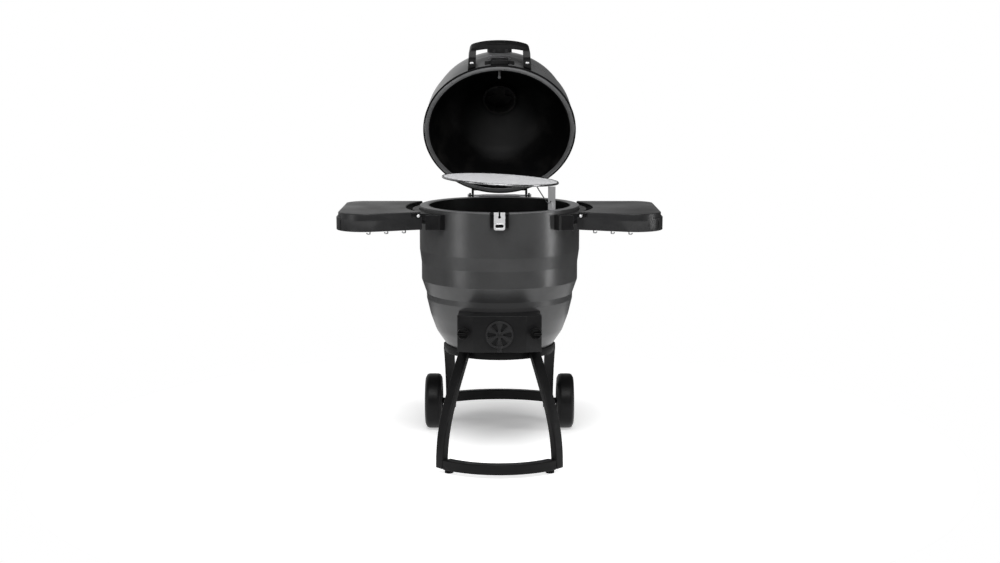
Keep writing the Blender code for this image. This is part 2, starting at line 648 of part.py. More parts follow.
def make_tool_hooks(mats):
    """Three wire hooks on a strip that runs inside the shelf's front wall."""
    def wall_y(x):
        inner = math.sqrt(SHELF_ARC ** 2 - SHELF_INNER_FRONT ** 2)
        slope = (SHELF_FRONT - SHELF_INNER_FRONT) / (SHELF_END - inner)
        return SHELF_INNER_FRONT + (x - inner) * slope

    first, last = HOOK_X[0] - 0.006, HOOK_X[-1] + 0.004
    strip = prism("tool_hooks_right", [(first, wall_y(first) + 0.0055), (last, wall_y(last) + 0.0055),
                                       (last, wall_y(last) + 0.0078), (first, wall_y(first) + 0.0078)],
                  mats["steel"], 0.8080, 0.8200, smooth=0)
    hooks = []
    for x in HOOK_X:
        y = wall_y(x) + 0.0066
        wire = [(x, y, 0.8180), (x, y, 0.7810), (x + 0.0018, y, 0.7782), (x + 0.0050, y, 0.7770),
                (x + 0.0088, y, 0.7782), (x + 0.0108, y, 0.7815)]
        hooks.append(sweep("hook", wire, circle_section(HOOK_WIRE, 6), None, (0, 1, 0)))
    return weld(strip, *hooks)


def make_shelves(mats):
    make_shelf_pins(mats)
    pivot = (FOLD_X, 0.0, FOLD_Z)
    other = (-FOLD_X, 0.0, FOLD_Z)
    for make in (make_shelf, make_shelf_bracket, make_tool_hooks):
        right = make(mats)
        left = mirrored(right, right.name.replace("right", "left"))
        if make in (make_shelf, make_tool_hooks):
            put_origin(right, pivot)
            put_origin(left, other)


# ---------------------------------------------------------------- swing-out rack
def make_rack(mats):
    socket = rod("rack_socket", (POST_X, POST_Y, 0.8120), (POST_X, POST_Y, 0.8450), 0.0105,
                 mats["steel"], 16)
    out = Vector((POST_X, POST_Y, 0)).normalized()
    arm = sweep("arm", [out * 0.222 + Vector((0, 0, 0.8285)),
                        out * 0.2395 + Vector((0, 0, 0.8285))],
                rounded_section(0.012, 0.026, 0.002, 1), None)
    weld(socket, arm)
    cut(socket, rod("bore", (POST_X, POST_Y, 0.80), (POST_X, POST_Y, 0.86), 0.0066, None, 16))

    post = box("rack_post", (POST_X - 0.0124, POST_Y - 0.002, 0.8465),
               (POST_X + 0.0124, POST_Y + 0.002, 0.9244), mats["steel"])
    spigot = rod("spigot", (POST_X, POST_Y, 0.8290), (POST_X, POST_Y, 0.8700), 0.0060, None, 16)
    brace_path = [(0.1180, POST_Y + 0.0010, 0.9235), (0.1290, POST_Y - 0.0015, 0.9160),
                  (0.1500, POST_Y - 0.0040, 0.8850), (0.1590, POST_Y - 0.0035, 0.8720),
                  (0.1680, POST_Y - 0.0031, 0.8715), (0.1730, POST_Y - 0.0031, 0.8760)]
    brace = sweep("brace", brace_path, circle_section(0.0019, 6), None)
    weld(post, spigot, brace)
    put_origin(post, (POST_X, POST_Y, RIM_Z))

    roll = about((RACK_AT[0], RACK_AT[1], RACK_AT[2]), RACK_ROLL, "Y")
    ring = torus("rack_ring", RACK_R - 0.0035, 0.0035, None, RACK_AT, 36, 5)
    wires = []
    count, pitch = 15, 0.0250
    for i in range(count):
        x = (i - (count - 1) / 2) * pitch
        reach = math.sqrt((RACK_R - 0.0035) ** 2 - x * x)
        start = Vector(RACK_AT) + Vector((x, -reach, 0.0))
        end = Vector(RACK_AT) + Vector((x, reach, 0.0))
        wires.append(rod("wire", start, end, 0.0015, None, 5))
    grid = weld(ring, *wires)
    grid.name = "rack_grid"
    grid.data.name = "rack_grid"
    grid.data.materials.clear()
    grid.data.materials.append(mats["chrome"])
    tilt(grid, roll)
    put_origin(grid, (POST_X, POST_Y, RIM_Z))


# ---------------------------------------------------------------- lid, drawn shut
def lid_wall(extra):
    """The lid's outer wall in keg coordinates, moved out by a little."""
    return [(r + extra, LID_BASE + h + extra * (1 if h > 0.15 else 0)) for r, h in LID_SHELL]


def make_lid_shell(mats):
    outer = lid_wall(0.0)
    rim = [(LID_RIM, LID_BASE), (0.2475, LID_BASE), (0.2475, LID_BASE + 0.003),
           (LID_RIM - SHEET, LID_BASE + 0.003)]
    inner = shell_profile(outer, SHEET)[len(outer):]
    lathe("lid_shell", outer + rim + inner, mats["lid"], ROUND)
    lining = [(r, LID_BASE + h) for r, h in LID_LINER]
    lathe("lid_liner", shell_profile(lining, SHEET), mats["enamel"], ROUND)
    lathe("lid_gasket", [(LID_RIM + 0.0004, LID_BASE + 0.0052), (LID_RIM + 0.0004, LID_BASE - 0.0008),
                         (LID_RIM + 0.0046, LID_BASE - 0.0008), (LID_RIM + 0.0046, LID_BASE + 0.0052)],
          mats["rubber"], ROUND)


def lid_drum(extra):
    """A solid the size of the lid's outside, used to shape pieces that sit on it."""
    outline = [(0.0, LID_BASE + 0.2450 + extra)] + lid_wall(extra)
    outline += [(LID_RIM + extra, LID_BASE - 0.05), (0.0, LID_BASE - 0.05)]
    return lathe("drum", outline, None, ROUND)


def make_handle(mats):
    """A bowed grip on two legs: its plan view crossed with its side view, and two flat nuts."""
    outer_end, inner_end = GRIP_OUT - 0.014, GRIP_IN - 0.006
    right = [(0.1085, -0.2300), (0.1050, -0.2850), (0.1005, -0.3060), (0.0955, -0.3145),
             (0.0870, -outer_end)]
    top = []
    under = []
    for i in range(1, 10):
        t = 1 - i / 5
        top.append((0.0870 * t, -outer_end - (GRIP_OUT - outer_end) * (1 - t * t)))
        under.append((-0.0790 * t, -inner_end - (GRIP_IN - inner_end) * (1 - t * t)))
    left = [(-x, y) for x, y in right[::-1]]
    plan = right + top + left + [(-0.0825, -0.2300), (-0.0790, -inner_end)] + under
    plan += [(0.0790, -inner_end), (0.0825, -0.2300)]
    z = LID_BASE
    grip = prism("handle", plan, mats["plastic"], z, z + 0.080)
    side = [(-0.2200, z + 0.010), (-0.2880, z + 0.010), (-0.3100, z + 0.030),
            (-0.3300, z + 0.033), (-0.3400, z + 0.040), (-0.3400, z + 0.053),
            (-0.3280, z + 0.060), (-0.3080, z + 0.060), (-0.2900, z + 0.052),
            (-0.2200, z + 0.050)]
    combine(grip, [prism("side", side, None, -0.2, 0.2, "X")], "INTERSECT")
    cut(grip, lid_drum(0.0008))
    pieces = [grip]
    for word, sign in (("left", -1), ("right", 1)):
        x, y = sign * LEG_X, -0.2735
        pieces.append(box("handle_screw_" + word, (x - 0.0062, y - 0.0027, z + 0.0055),
                          (x + 0.0062, y + 0.0027, z + 0.0096), mats["steel"]))
    return pieces


def lid_sector(name, low, high, thick, half_angle, mat):
    """A curved plate lying on the front of the lid's lower band."""
    gap = 0.0007
    points = [(r, h) for r, h in LID_SHELL if low < h < high]
    heights = [high] + [h for _, h in points] + [low]
    wall = sorted(LID_SHELL, key=lambda p: p[1])

    def radius_at(height):
        for (r0, h0), (r1, h1) in zip(wall, wall[1:]):
            if h0 <= height <= h1:
                return r0 + (r1 - r0) * (height - h0) / (h1 - h0)
        return wall[0][0]

    outer = [(radius_at(h) + gap + thick, LID_BASE + h) for h in heights]
    inner = [(radius_at(h) + gap, LID_BASE + h) for h in heights]
    profile = outer + inner[::-1]
    bm = bmesh.new()
    rings = []
    steps = 10
    for i in range(steps + 1):
        turn = math.radians(-90 - half_angle + 2 * half_angle * i / steps)
        rings.append([bm.verts.new((r * math.cos(turn), r * math.sin(turn), height))
                      for r, height in profile])
    for a, b in zip(rings, rings[1:]):
        for k in range(len(profile)):
            m = (k + 1) % len(profile)
            bm.faces.new((a[k], b[k], b[m], a[m]))
    bm.faces.new(rings[0])
    bm.faces.new(rings[-1][::-1])
    return finish_mesh(name, bm, mat)


def make_lid_front(mats):
    keeper = lid_sector("latch_keeper", 0.0200, 0.0400, 0.0040, 11.0, mats["black"])
    block = box("block", (-0.0300, -0.2840, LID_BASE + 0.0065), (0.0300, -0.2660,
                                                                LID_BASE + 0.0250), None)
    weld(keeper, cut(block, lid_drum(0.0007)))
    badge = lid_sector("badge_plate", 0.0640, 0.0900, 0.0030, 9.0, mats["badge"])
    return [keeper, badge]


def make_thermometer(mats):
    """Drawn facing up at the origin, then laid on the lid's front."""
    place = (Matrix.Translation((0, GAUGE_Y, LID_BASE + GAUGE_UP))
             @ Matrix.Rotation(math.radians(90 - GAUGE_TILT), 4, "X"))
    case = lathe("thermometer_case", [
        (0.0070, -0.0150), (GAUGE_R - 0.003, -0.0150), (GAUGE_R, -0.0120), (GAUGE_R, 0.0130),
        (GAUGE_R - 0.002, 0.0160), (0.0385, 0.0160), (0.0375, 0.0090), (0.0070, 0.0090)],
        mats["black"], 24)
    tilt(case, place)
    cut(case, lid_drum(0.0008))
    dial = lathe("thermometer_dial", [(0.0015, 0.0093), (0.0368, 0.0093), (0.0368, 0.0103),
                                      (0.0015, 0.0103)], mats["dial"], 20)
    needle = box("thermometer_needle", (-0.0010, -0.0080, 0.0113), (0.0010, 0.0290, 0.0118),
                 mats["needle"])
    boss = rod("boss", (0, 0, 0.0106), (0, 0, 0.0122), 0.0035, None, 12)
    weld(needle, boss)
    lens = lathe("thermometer_lens", [(0.0, 0.0128), (0.0373, 0.0128), (0.0373, 0.0145),
                                      (0.0, 0.0150)], mats["glass"], 20)
    stem = rod("thermometer_stem", (0, 0, 0.0086), (0, 0, -0.0960), 0.0052, mats["steel"], 14)
    for piece in (dial, lens, stem):
        tilt(piece, place)
    needle.data.transform(place)
    hole = rod("stem_hole", (0, 0, 0.03), (0, 0, -0.06), 0.0060, None, 14)
    tilt(hole, place)
    return [case, dial, needle, lens, stem], hole


def damper_vents(turned):
    """Four openings.  The cap's are an eighth of a turn from the fixed plate's, which shuts them."""
    vents = []
    for i in range(4):
        middle = 90 * i + turned
        outline = arc(0.0480, (0, 0), middle - 21, middle + 21, 5)
        outline += arc(0.0220, (0, 0), middle + 21, middle - 21, 3)
        vents.append(prism("vent", outline, None, LID_BASE + 0.24, LID_BASE + 0.30))
    return vents


def make_top_damper(mats):
    z = LID_BASE
    collar = lathe("damper_collar", [
        (VENT_R, z + 0.2010), (0.0600, z + 0.2010), (0.0600, z + 0.2445), (0.0740, z + 0.2445),
        (0.0740, z + 0.2500), (0.0660, z + 0.2540), (VENT_R, z + 0.2540)], mats["cast"], 24)
    plate = lathe("plate", [(0.0, z + 0.2535), (VENT_R + 0.002, z + 0.2535),
                            (VENT_R + 0.002, z + 0.2490), (0.0, z + 0.2490)], None, 24)
    weld(collar, cut(plate, *damper_vents(0)))
    cap = lathe("damper_cap", [
        (0.0, z + 0.2546), (0.0640, z + 0.2546), (0.0640, z + 0.2590), (0.0560, z + 0.2650),
        (0.0180, z + 0.2720), (0.0160, z + 0.2800), (0.0, z + 0.2820)], mats["cast"], 24)
    cut(cap, *damper_vents(45))
    tab = box("tab", (0.0560, -0.0060, z + 0.2555), (0.0760, 0.0060, z + 0.2610), None)
    weld(cap, tab)
    return [collar, cap]


def make_hinge(mats):
    axis = (HINGE_Y, HINGE_Z)
    body_plate = box("hinge_bracket_body", (-0.1100, 0.2760, 0.8050), (0.1100, 0.2790, 0.8400),
                     mats["black"])
    for sign in (-1, 1):
        low, high = sorted((sign * 0.1030, sign * 0.1100))
        ear = prism("ear", arc(0.0095, axis, 0, 180, 8) + [(0.2685, 0.8400), (0.2690, 0.8060),
                                                           (0.2875, 0.8060)], None, low, high, "X")
        weld(body_plate, ear)
    drum = lathe("drum", [(0.2754, 0.9), (0.0, 0.9), (0.0, 0.7), (0.2754, 0.7)], None, ROUND)
    hole = rod("hole", (-0.15, *axis), (0.15, *axis), 0.0039, None, 12)
    cut(body_plate, drum, hole)
    pin = rod("hinge_rod", (-0.1150, *axis), (0.1150, *axis), 0.0034, mats["steel"], 14)
    sleeve = rod("sleeve", (-0.0560, *axis), (0.0560, *axis), 0.0048, None, 14)
    weld(pin, sleeve)
    z = LID_BASE
    lid_plate = box("hinge_bracket_lid", (-0.1010, 0.2640, z + 0.0150),
                    (0.1010, 0.2670, z + 0.0480), mats["black"])
    for sign in (-1, 1):
        low, high = sorted((sign * 0.0930, sign * 0.1010))
        ear = prism("ear", arc(0.0088, axis, -180, 0, 8) + [(0.2868, z + 0.0300),
                                                            (0.2660, z + 0.0480),
                                                            (0.2640, z + 0.0150)], None, low, high,
                    "X")
        weld(lid_plate, ear)
    lid_hole = rod("hole", (-0.15, *axis), (0.15, *axis), 0.0039, None, 12)
    cut(lid_plate, lid_hole)
    return [lid_plate]


def make_lid(mats):
    make_lid_shell(mats)
    shell = bpy.data.objects["lid_shell"]
    liner = bpy.data.objects["lid_liner"]
    gasket = bpy.data.objects["lid_gasket"]
    pieces = [shell, liner, gasket]
    pieces += make_handle(mats)
    pieces += make_lid_front(mats)
    gauge, hole = make_thermometer(mats)
    twin = hole.copy()
    twin.data = hole.data.copy()
    bpy.context.collection.objects.link(twin)
    cut(shell, hole)
    cut(liner, twin)
    damper = make_top_damper(mats)
    pieces += gauge + damper + make_hinge(mats)

    hinge = bpy.data.objects.new("lid_hinge_axis", None)
    hinge.empty_display_size = 0.05
    hinge.location = (0, HINGE_Y, HINGE_Z)
    hinge.rotation_euler = (math.radians(-LID_OPEN), 0, 0)
    bpy.context.collection.objects.link(hinge)
    own_axis = {"damper_cap": Vector((0, 0, LID_BASE + 0.2546)),
                "thermometer_needle": Vector((0, GAUGE_Y, LID_BASE + GAUGE_UP))}
    for piece in pieces:
        point = own_axis.get(piece.name, Vector((0, HINGE_Y, HINGE_Z)))
        piece.data.transform(Matrix.Translation(-point))
        piece.parent = hinge
        piece.location = point - Vector((0, HINGE_Y, HINGE_Z))


# ---------------------------------------------------------------- whole cooker
def make_materials():
    return {
        "keg": material("keg_paint", (0.055, 0.057, 0.060), 0.35, 0.38),
        "lid": material("lid_paint", (0.095, 0.097, 0.100), 0.40, 0.32),
        "rim": material("rim_paint", (0.150, 0.150, 0.152), 0.30, 0.45),
        "enamel": material("inner_enamel", (0.010, 0.010, 0.011), 0.0, 0.45),
        "frame": material("frame_paint", (0.022, 0.022, 0.023), 0.10, 0.50),
        "black": material("black_paint", (0.018, 0.018, 0.019), 0.10, 0.45),
        "cast": material("cast_iron", (0.020, 0.020, 0.020), 0.50, 0.60),
        "shelf": material("shelf_resin", (0.045, 0.045, 0.047), 0.0, 0.55),
        "plastic": material("black_plastic", (0.020, 0.020, 0.021), 0.0, 0.50),
        "tyre": material("tyre_rubber", (0.018, 0.018, 0.018), 0.0, 0.70),
        "rubber": material("gasket_rubber", (0.012, 0.012, 0.012), 0.0, 0.80),
        "steel": material("stainless", (0.620, 0.620, 0.630), 1.0, 0.30),
        "chrome": material("rack_chrome", (0.780, 0.780, 0.790), 1.0, 0.18),
        "badge": material("badge_metal", (0.300, 0.300, 0.310), 0.80, 0.35),
        "dial": material("dial_card", (0.750, 0.750, 0.740), 0.0, 0.60),
        "needle": material("needle_red", (0.450, 0.020, 0.015), 0.0, 0.50),
        "glass": material("lens_glass", (0.900, 0.920, 0.930), 0.0, 0.05),
    }


def build():
    clear_scene()
    mats = make_materials()
    make_barrel(mats)
    for piece, height in zip(make_grates(mats), (CHARCOAL_GRATE_Z, COOKING_GRATE_Z)):
        put_origin(piece, (0, 0, height))
    make_front_frame(mats)
    make_rear_frame(mats)
    make_wheels(mats)
    put_origin(make_ash_box(mats), (0, BOX_FRONT, BOX_BOTTOM))
    make_draft_wheel(mats)
    make_drawer_knobs(mats)
    make_latch(mats)
    make_shelves(mats)
    make_rack(mats)
    make_lid(mats)
    for obj in bpy.data.objects:
        if obj.parent is None:
            obj.location.y += KEG_Y
    bpy.context.view_layer.update()


build()
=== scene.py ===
"""Looks of the charcoal keg cooker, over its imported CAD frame.

Every visible piece is rebuilt here as a smooth, detailed mesh that stands for its CAD node and
rides on its body.  Lengths are metres.  Pieces are drawn in keg coordinates (the barrel's axis
is x = y = 0, the floor z = 0, the front is -Y) and then moved by KEG_Y into the frame.  Lid
pieces are drawn with the lid shut and tipped open about the hinge.
"""

import math

import bmesh
import bpy
from mathutils import Matrix, Vector


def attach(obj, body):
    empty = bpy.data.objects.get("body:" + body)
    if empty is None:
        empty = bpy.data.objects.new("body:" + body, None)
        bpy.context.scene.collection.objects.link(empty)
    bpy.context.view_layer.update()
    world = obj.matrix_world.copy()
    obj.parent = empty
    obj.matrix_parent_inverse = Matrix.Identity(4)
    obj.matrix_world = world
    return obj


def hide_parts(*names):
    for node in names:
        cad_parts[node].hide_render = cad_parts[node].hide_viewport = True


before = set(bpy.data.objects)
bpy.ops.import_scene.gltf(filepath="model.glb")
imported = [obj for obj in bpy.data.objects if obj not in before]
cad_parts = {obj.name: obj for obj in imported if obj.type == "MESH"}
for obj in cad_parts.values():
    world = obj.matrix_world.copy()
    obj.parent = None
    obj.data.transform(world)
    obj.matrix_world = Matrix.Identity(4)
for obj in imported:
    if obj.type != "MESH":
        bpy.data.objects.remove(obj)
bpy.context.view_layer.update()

# ---------------------------------------------------------------- dimensions, as in the CAD
KEG_Y = 0.0157
RIM_Z, RIM_OUTER, RIM_INNER = 0.851, 0.2725, 0.2435
SHEET = 0.002
BARREL = [                   # outer wall, top to bottom: radius, height, corner radius
    (0.2716, 0.8475, 0.0), (0.2722, 0.8460, 0.020), (0.2747, 0.7900, 0.200),
    (0.2747, 0.7000, 0.015), (0.2685, 0.6550, 0.012), (0.2685, 0.5970, 0.008),
    (0.2520, 0.5490, 0.008), (0.2515, 0.5300, 0.008), (0.2384, 0.4750, 0.150),
    (0.2178, 0.4180, 0.080), (0.1858, 0.3705, 0.004), (0.1846, 0.3640, 0.004),
    (0.0300, 0.3520, 0.0),
]
FIRE_BOWL = [
    (0.2428, 0.8495, 0.0), (0.2428, 0.7870, 0.002), (0.2360, 0.7850, 0.003),
    (0.2160, 0.6100, 0.010), (0.2050, 0.5930, 0.004), (0.1960, 0.5910, 0.004),
    (0.1400, 0.5400, 0.020), (0.0620, 0.5360, 0.0),
]
COOKING_GRATE_R, COOKING_GRATE_Z = 0.2395, 0.7880
CHARCOAL_GRATE_R, CHARCOAL_GRATE_Z = 0.1980, 0.5960
HINGE_Y, HINGE_Z, LID_OPEN = 0.278, 0.853, 59.5
LID_BASE, LID_RIM = 0.853, 0.263
LID_SHELL = [                # apex to rim: radius, height above the lid's rim, corner radius
    (0.0610, 0.2420, 0.0), (0.1050, 0.2350, 0.200), (0.1490, 0.2220, 0.200),
    (0.1830, 0.2040, 0.120), (0.2110, 0.1820, 0.100), (0.2320, 0.1560, 0.070),
    (0.2415, 0.1250, 0.070), (0.2450, 0.1020, 0.006), (0.2555, 0.0830, 0.008),
    (0.2615, 0.0400, 0.200), (0.2630, 0.0060, 0.0),
]
LID_LINER = [
    (0.0610, 0.2180, 0.0), (0.1050, 0.2120, 0.200), (0.1500, 0.1960, 0.150),
    (0.1900, 0.1670, 0.100), (0.2190, 0.1230, 0.120), (0.2380, 0.0600, 0.200),
    (0.2468, 0.0060, 0.010), (0.2468, 0.0005, 0.0),
]
VENT_R = 0.054
RING_OUTER, RING_BOTTOM, RING_TOP = 0.190, 0.3435, 0.3695
WHEEL_R, WHEEL_W = 0.100, 0.0625
AXLE_X, AXLE_Y, AXLE_Z = 0.2090, 0.245, 0.100
BAR_R, BAR_Y, BAR_BOTTOM, BAR_TOP, BAR_DEEP = 0.297, -0.140, 0.0145, 0.048, 0.034
LEG_BOTTOM, LEG_HEIGHT = 0.017, 0.3695
FRONT_FOOT_AT, FRONT_TOP_AT = (0.190, -0.350), (0.119, -0.167)
LEG_WIDE, LEG_DEEP = 0.034, 0.026
FOOT_TURN, TOP_TURN = 48.0, 14.0
BOX_HALF, BOX_BOTTOM, BOX_TOP, BOX_FRONT = 0.138, 0.400, 0.521, -0.334
BOX_WING, WING_BACK, PANEL = 0.050, 0.012, 0.0125
DRAFT_Z, DRAFT_R, PETALS = 0.459, 0.0457, 6
KNOB_X, KNOB_Z, KNOB_R = 0.118, 0.464, 0.0190
LATCH_Y, LATCH_Z = -0.2875, 0.8500
SHELF_ARC, SHELF_END = 0.318, 0.5447
SHELF_FRONT, SHELF_BACK, SHELF_INNER_FRONT = -0.286, 0.175, -0.188
FRONT_CORNER, BACK_CORNER = 0.095, 0.070
SHELF_TOP, SHELF_LEDGE, SHELF_BOTTOM = 0.8450, 0.8285, 0.7850
FOLD_X, FOLD_Z = 0.269, 0.8328
HOOK_X, HOOK_WIRE = (0.312, 0.369, 0.426), 0.0020
POST_X, POST_Y = 0.175, -0.130
RACK_AT, RACK_R, RACK_ROLL = (0.003, -0.022, 0.938), 0.2005, 3.2
GRIP_IN, GRIP_OUT, LEG_X = 0.315, 0.333, 0.0945
FLOOR_R, DIM, GLOW = 1.6, 0.07, 0.80        # studio: floor radius, world light, back glow
LENS, SENSOR, SHIFT = 54.0, 36.0, 0.0005        # camera: mm, mm, share of the width
CAMERA_AT, CAMERA_DOWN = (0.0, -5.136 + KEG_Y, 1.40), 9.05      # degrees below level
GAUGE_TILT, GAUGE_Y, GAUGE_UP, GAUGE_R = 30.5, -0.2265, 0.1640, 0.043

TO_FRAME = Matrix.Translation((0, KEG_Y, 0))
LID_TIP = (TO_FRAME @ Matrix.Translation((0, HINGE_Y, HINGE_Z))
           @ Matrix.Rotation(math.radians(-LID_OPEN), 4, "X")
           @ Matrix.Translation((0, -HINGE_Y, -HINGE_Z)))


# ---------------------------------------------------------------- outlines
def arc(radius, centre, start, end, count):
    """Points on a circle from one angle to another, in degrees."""
    points = []
    for i in range(count + 1):
        angle = math.radians(start + (end - start) * i / count)
        points.append((centre[0] + radius * math.cos(angle),
                       centre[1] + radius * math.sin(angle)))
    return points


def rounded(corners, closed=True, step=7.0):
    """Replace the corners of an outline of (u, v, radius) by arcs, as far as its sides allow."""
    count = len(corners)
    points = []
    for i, corner in enumerate(corners):
        here = Vector(corner[:2])
        radius = corner[2] if len(corner) > 2 else 0.0
        at_end = not closed and i in (0, count - 1)
        if radius <= 0 or at_end:
            points.append(tuple(here))
            continue
        before = Vector(corners[i - 1][:2]) - here
        after = Vector(corners[(i + 1) % count][:2]) - here
        half = before.angle(after) / 2
        turn = math.pi - 2 * half
        if turn < 0.01:
            points.append(tuple(here))
            continue
        reach = min(radius / math.tan(half), 0.49 * before.length, 0.49 * after.length)
        size = reach * math.tan(half)
        centre = here + (before.normalized() + after.normalized()).normalized() * size / math.sin(half)
        first = here + before.normalized() * reach - centre
        last = here + after.normalized() * reach - centre
        whole = first.angle_signed(last)
        steps = max(2, math.ceil(math.degrees(turn) / step))
        for k in range(steps + 1):
            turned = first.copy()
            turned.rotate(Matrix.Rotation(-whole * k / steps, 2))
            points.append(tuple(centre + turned))
    return points


def bezier(points, count):
    """Points along the Bezier curve of these control points."""
    a, b, c, d = [Vector(p) for p in points]
    path = []
    for i in range(count + 1):
        t = i / count
        s = 1 - t
        path.append(a * s ** 3 + b * 3 * s * s * t + c * 3 * s * t * t + d * t ** 3)
    return path


def smooth_path(points, steps=6):
    """A curve through all of the points."""
    points = [Vector(p) for p in points]
    full = [points[0] * 2 - points[1]] + points + [points[-1] * 2 - points[-2]]
    path = []
    for a, b, c, d in zip(full, full[1:], full[2:], full[3:]):
        for k in range(steps):
            t = k / steps
            path.append(0.5 * (2 * b + (c - a) * t + (2 * a - 5 * b + 4 * c - d) * t * t
                               + (3 * b - a - 3 * c + d) * t ** 3))
    return path + [points[-1]]


def circle_section(radius, count):
    return arc(radius, (0, 0), 0, 360 - 360 / count, count - 1)


def rounded_section(wide, deep, corner):
    u, v = wide / 2, deep / 2
    return rounded([(u, v, corner), (-u, v, corner), (-u, -v, corner), (u, -v, corner)], step=18)


# ---------------------------------------------------------------- meshes
def mesh_object(name, bm, mat, smooth=32):
    """Turn a bmesh into an object, smooth but for edges sharper than the angle."""
    bmesh.ops.recalc_face_normals(bm, faces=bm.faces)
    mesh = bpy.data.meshes.new(name)
    bm.to_mesh(mesh)
    bm.free()
    if mat:
        mesh.materials.append(mat)
    if smooth:
        mesh.shade_smooth()
        mesh.set_sharp_from_angle(angle=math.radians(smooth))
    obj = bpy.data.objects.new(name, mesh)
    bpy.context.collection.objects.link(obj)
    return obj


def lathe(name, profile, mat, count=144, smooth=32):
    """Revolve a closed (radius, height) outline about Z."""
    bm = bmesh.new()
    rings = []
    for radius, height in profile:
        if radius < 1e-6:
            rings.append([bm.verts.new((0, 0, height))])
            continue
        rings.append([bm.verts.new((u, v, height)) for u, v in circle_section(radius, count)])
    for a, b in zip(rings, rings[1:] + rings[:1]):
        if len(a) == 1 and len(b) == 1:
            continue
        for i in range(count):
            j = (i + 1) % count
            if len(a) == 1:
                bm.faces.new((a[0], b[j], b[i]))
            elif len(b) == 1:
                bm.faces.new((a[i], a[j], b[0]))
            else:
                bm.faces.new((a[i], a[j], b[j], b[i]))
    return mesh_object(name, bm, mat, smooth)


def sheet_profile(outer, thickness):
    """Close an open outline by following it back one sheet thickness further in."""
    inner = []
    for i, point in enumerate(outer):
        before = Vector(outer[max(i - 1, 0)])
        after = Vector(outer[min(i + 1, len(outer) - 1)])
        along = (after - before).normalized()
        inner.append(tuple(Vector(point) + Vector((along.y, -along.x)) * thickness))
    return list(outer) + inner[::-1]


def prism(name, outline, mat, low, high, axis="Z", bevel=0.0, segments=3):
    """Extrude a flat outline along one axis, with a rounded edge if bevel is given."""
    turn = {"Z": lambda u, v, w: (u, v, w),
            "Y": lambda u, v, w: (u, w, v),
            "X": lambda u, v, w: (w, u, v)}[axis]
    bm = bmesh.new()
    bottom = [bm.verts.new(turn(u, v, low)) for u, v in outline]
    top = [bm.verts.new(turn(u, v, high)) for u, v in outline]
    bm.faces.new(bottom[::-1])
    bm.faces.new(top)
    count = len(outline)
    for i in range(count):
        j = (i + 1) % count
        bm.faces.new((bottom[i], bottom[j], top[j], top[i]))
    obj = mesh_object(name, bm, mat, 30)
    return bevelled(obj, bevel, segments) if bevel else obj


def box(name, low, high, mat, bevel=0.0):
    """A block between two opposite corners."""
    outline = [(low[0], low[1]), (high[0], low[1]), (high[0], high[1]), (low[0], high[1])]
    return prism(name, outline, mat, low[2], high[2], bevel=bevel)


def bevelled(obj, width, segments=3, angle=35):
    """Round every edge sharper than the angle and settle the shading."""
    edge = obj.modifiers.new("edges", "BEVEL")
    edge.width = width
    edge.segments = segments
    edge.limit_method = "ANGLE"
    edge.angle_limit = math.radians(angle)
    edge.harden_normals = True
    return settle(obj)


def settle(obj):
    """Apply the object's modifiers to its mesh."""
    graph = bpy.context.evaluated_depsgraph_get()
    graph.update()
    shaped = bpy.data.meshes.new_from_object(obj.evaluated_get(graph))
    obj.modifiers.clear()
    old = obj.data
    obj.data = shaped
    bpy.data.meshes.remove(old)
    return obj


def sweep(name, path, section, mat, side=None, closed=False, smooth=32):
    """Carry a section along a path.  A list of sides, one for each point, twists it."""
    path = [Vector(p) for p in path]
    count = len(path)
    tangents = []
    for i in range(count):
        if closed:
            tangents.append((path[(i + 1) % count] - path[i - 1]).normalized())
        else:
            tangents.append((path[min(i + 1, count - 1)] - path[max(i - 1, 0)]).normalized())
    if side is None:
        guess = Vector((0, 0, 1)) if abs(tangents[0].z) < 0.8 else Vector((1, 0, 0))
        side = tangents[0].cross(guess).normalized()
    twist = side if isinstance(side, list) else None
    bm = bmesh.new()
    rings = []
    for i, (point, tangent) in enumerate(zip(path, tangents)):
        side = Vector(twist[i] if twist else side)
        across = (side - tangent * side.dot(tangent)).normalized()
        normal = tangent.cross(across)
        rings.append([bm.verts.new(point + across * u + normal * v) for u, v in section])
        side = across
    pairs = list(zip(rings, rings[1:]))
    if closed:
        pairs.append((rings[-1], rings[0]))
    for a, b in pairs:
        for i in range(len(section)):
            j = (i + 1) % len(section)
            bm.faces.new((a[i], a[j], b[j], b[i]))
    if not closed:
        bm.faces.new(rings[0][::-1])
        bm.faces.new(rings[-1])
    return mesh_object(name, bm, mat, smooth)


def rod(name, start, end, radius, mat, count=24):
    return sweep(name, [start, end], circle_section(radius, count), mat)


def ring_path(radius, height, count=96):
    return [Vector((u, v, height)) for u, v in circle_section(radius, count)]


def combine(target, tools, operation, smooth=30):
    """Boolean the tools into the target and drop them."""
    for tool in tools:
        change = target.modifiers.new("shape", "BOOLEAN")
        change.operation = operation
        change.solver = "EXACT"
        change.object = tool
    settle(target)
    for tool in tools:
        bpy.data.objects.remove(tool, do_unlink=True)
    target.data.shade_smooth()
    target.data.set_sharp_from_angle(angle=math.radians(smooth))
    return target


def cut(target, *tools):
    return combine(target, tools, "DIFFERENCE")


def weld(target, *tools):
    return combine(target, tools, "UNION")


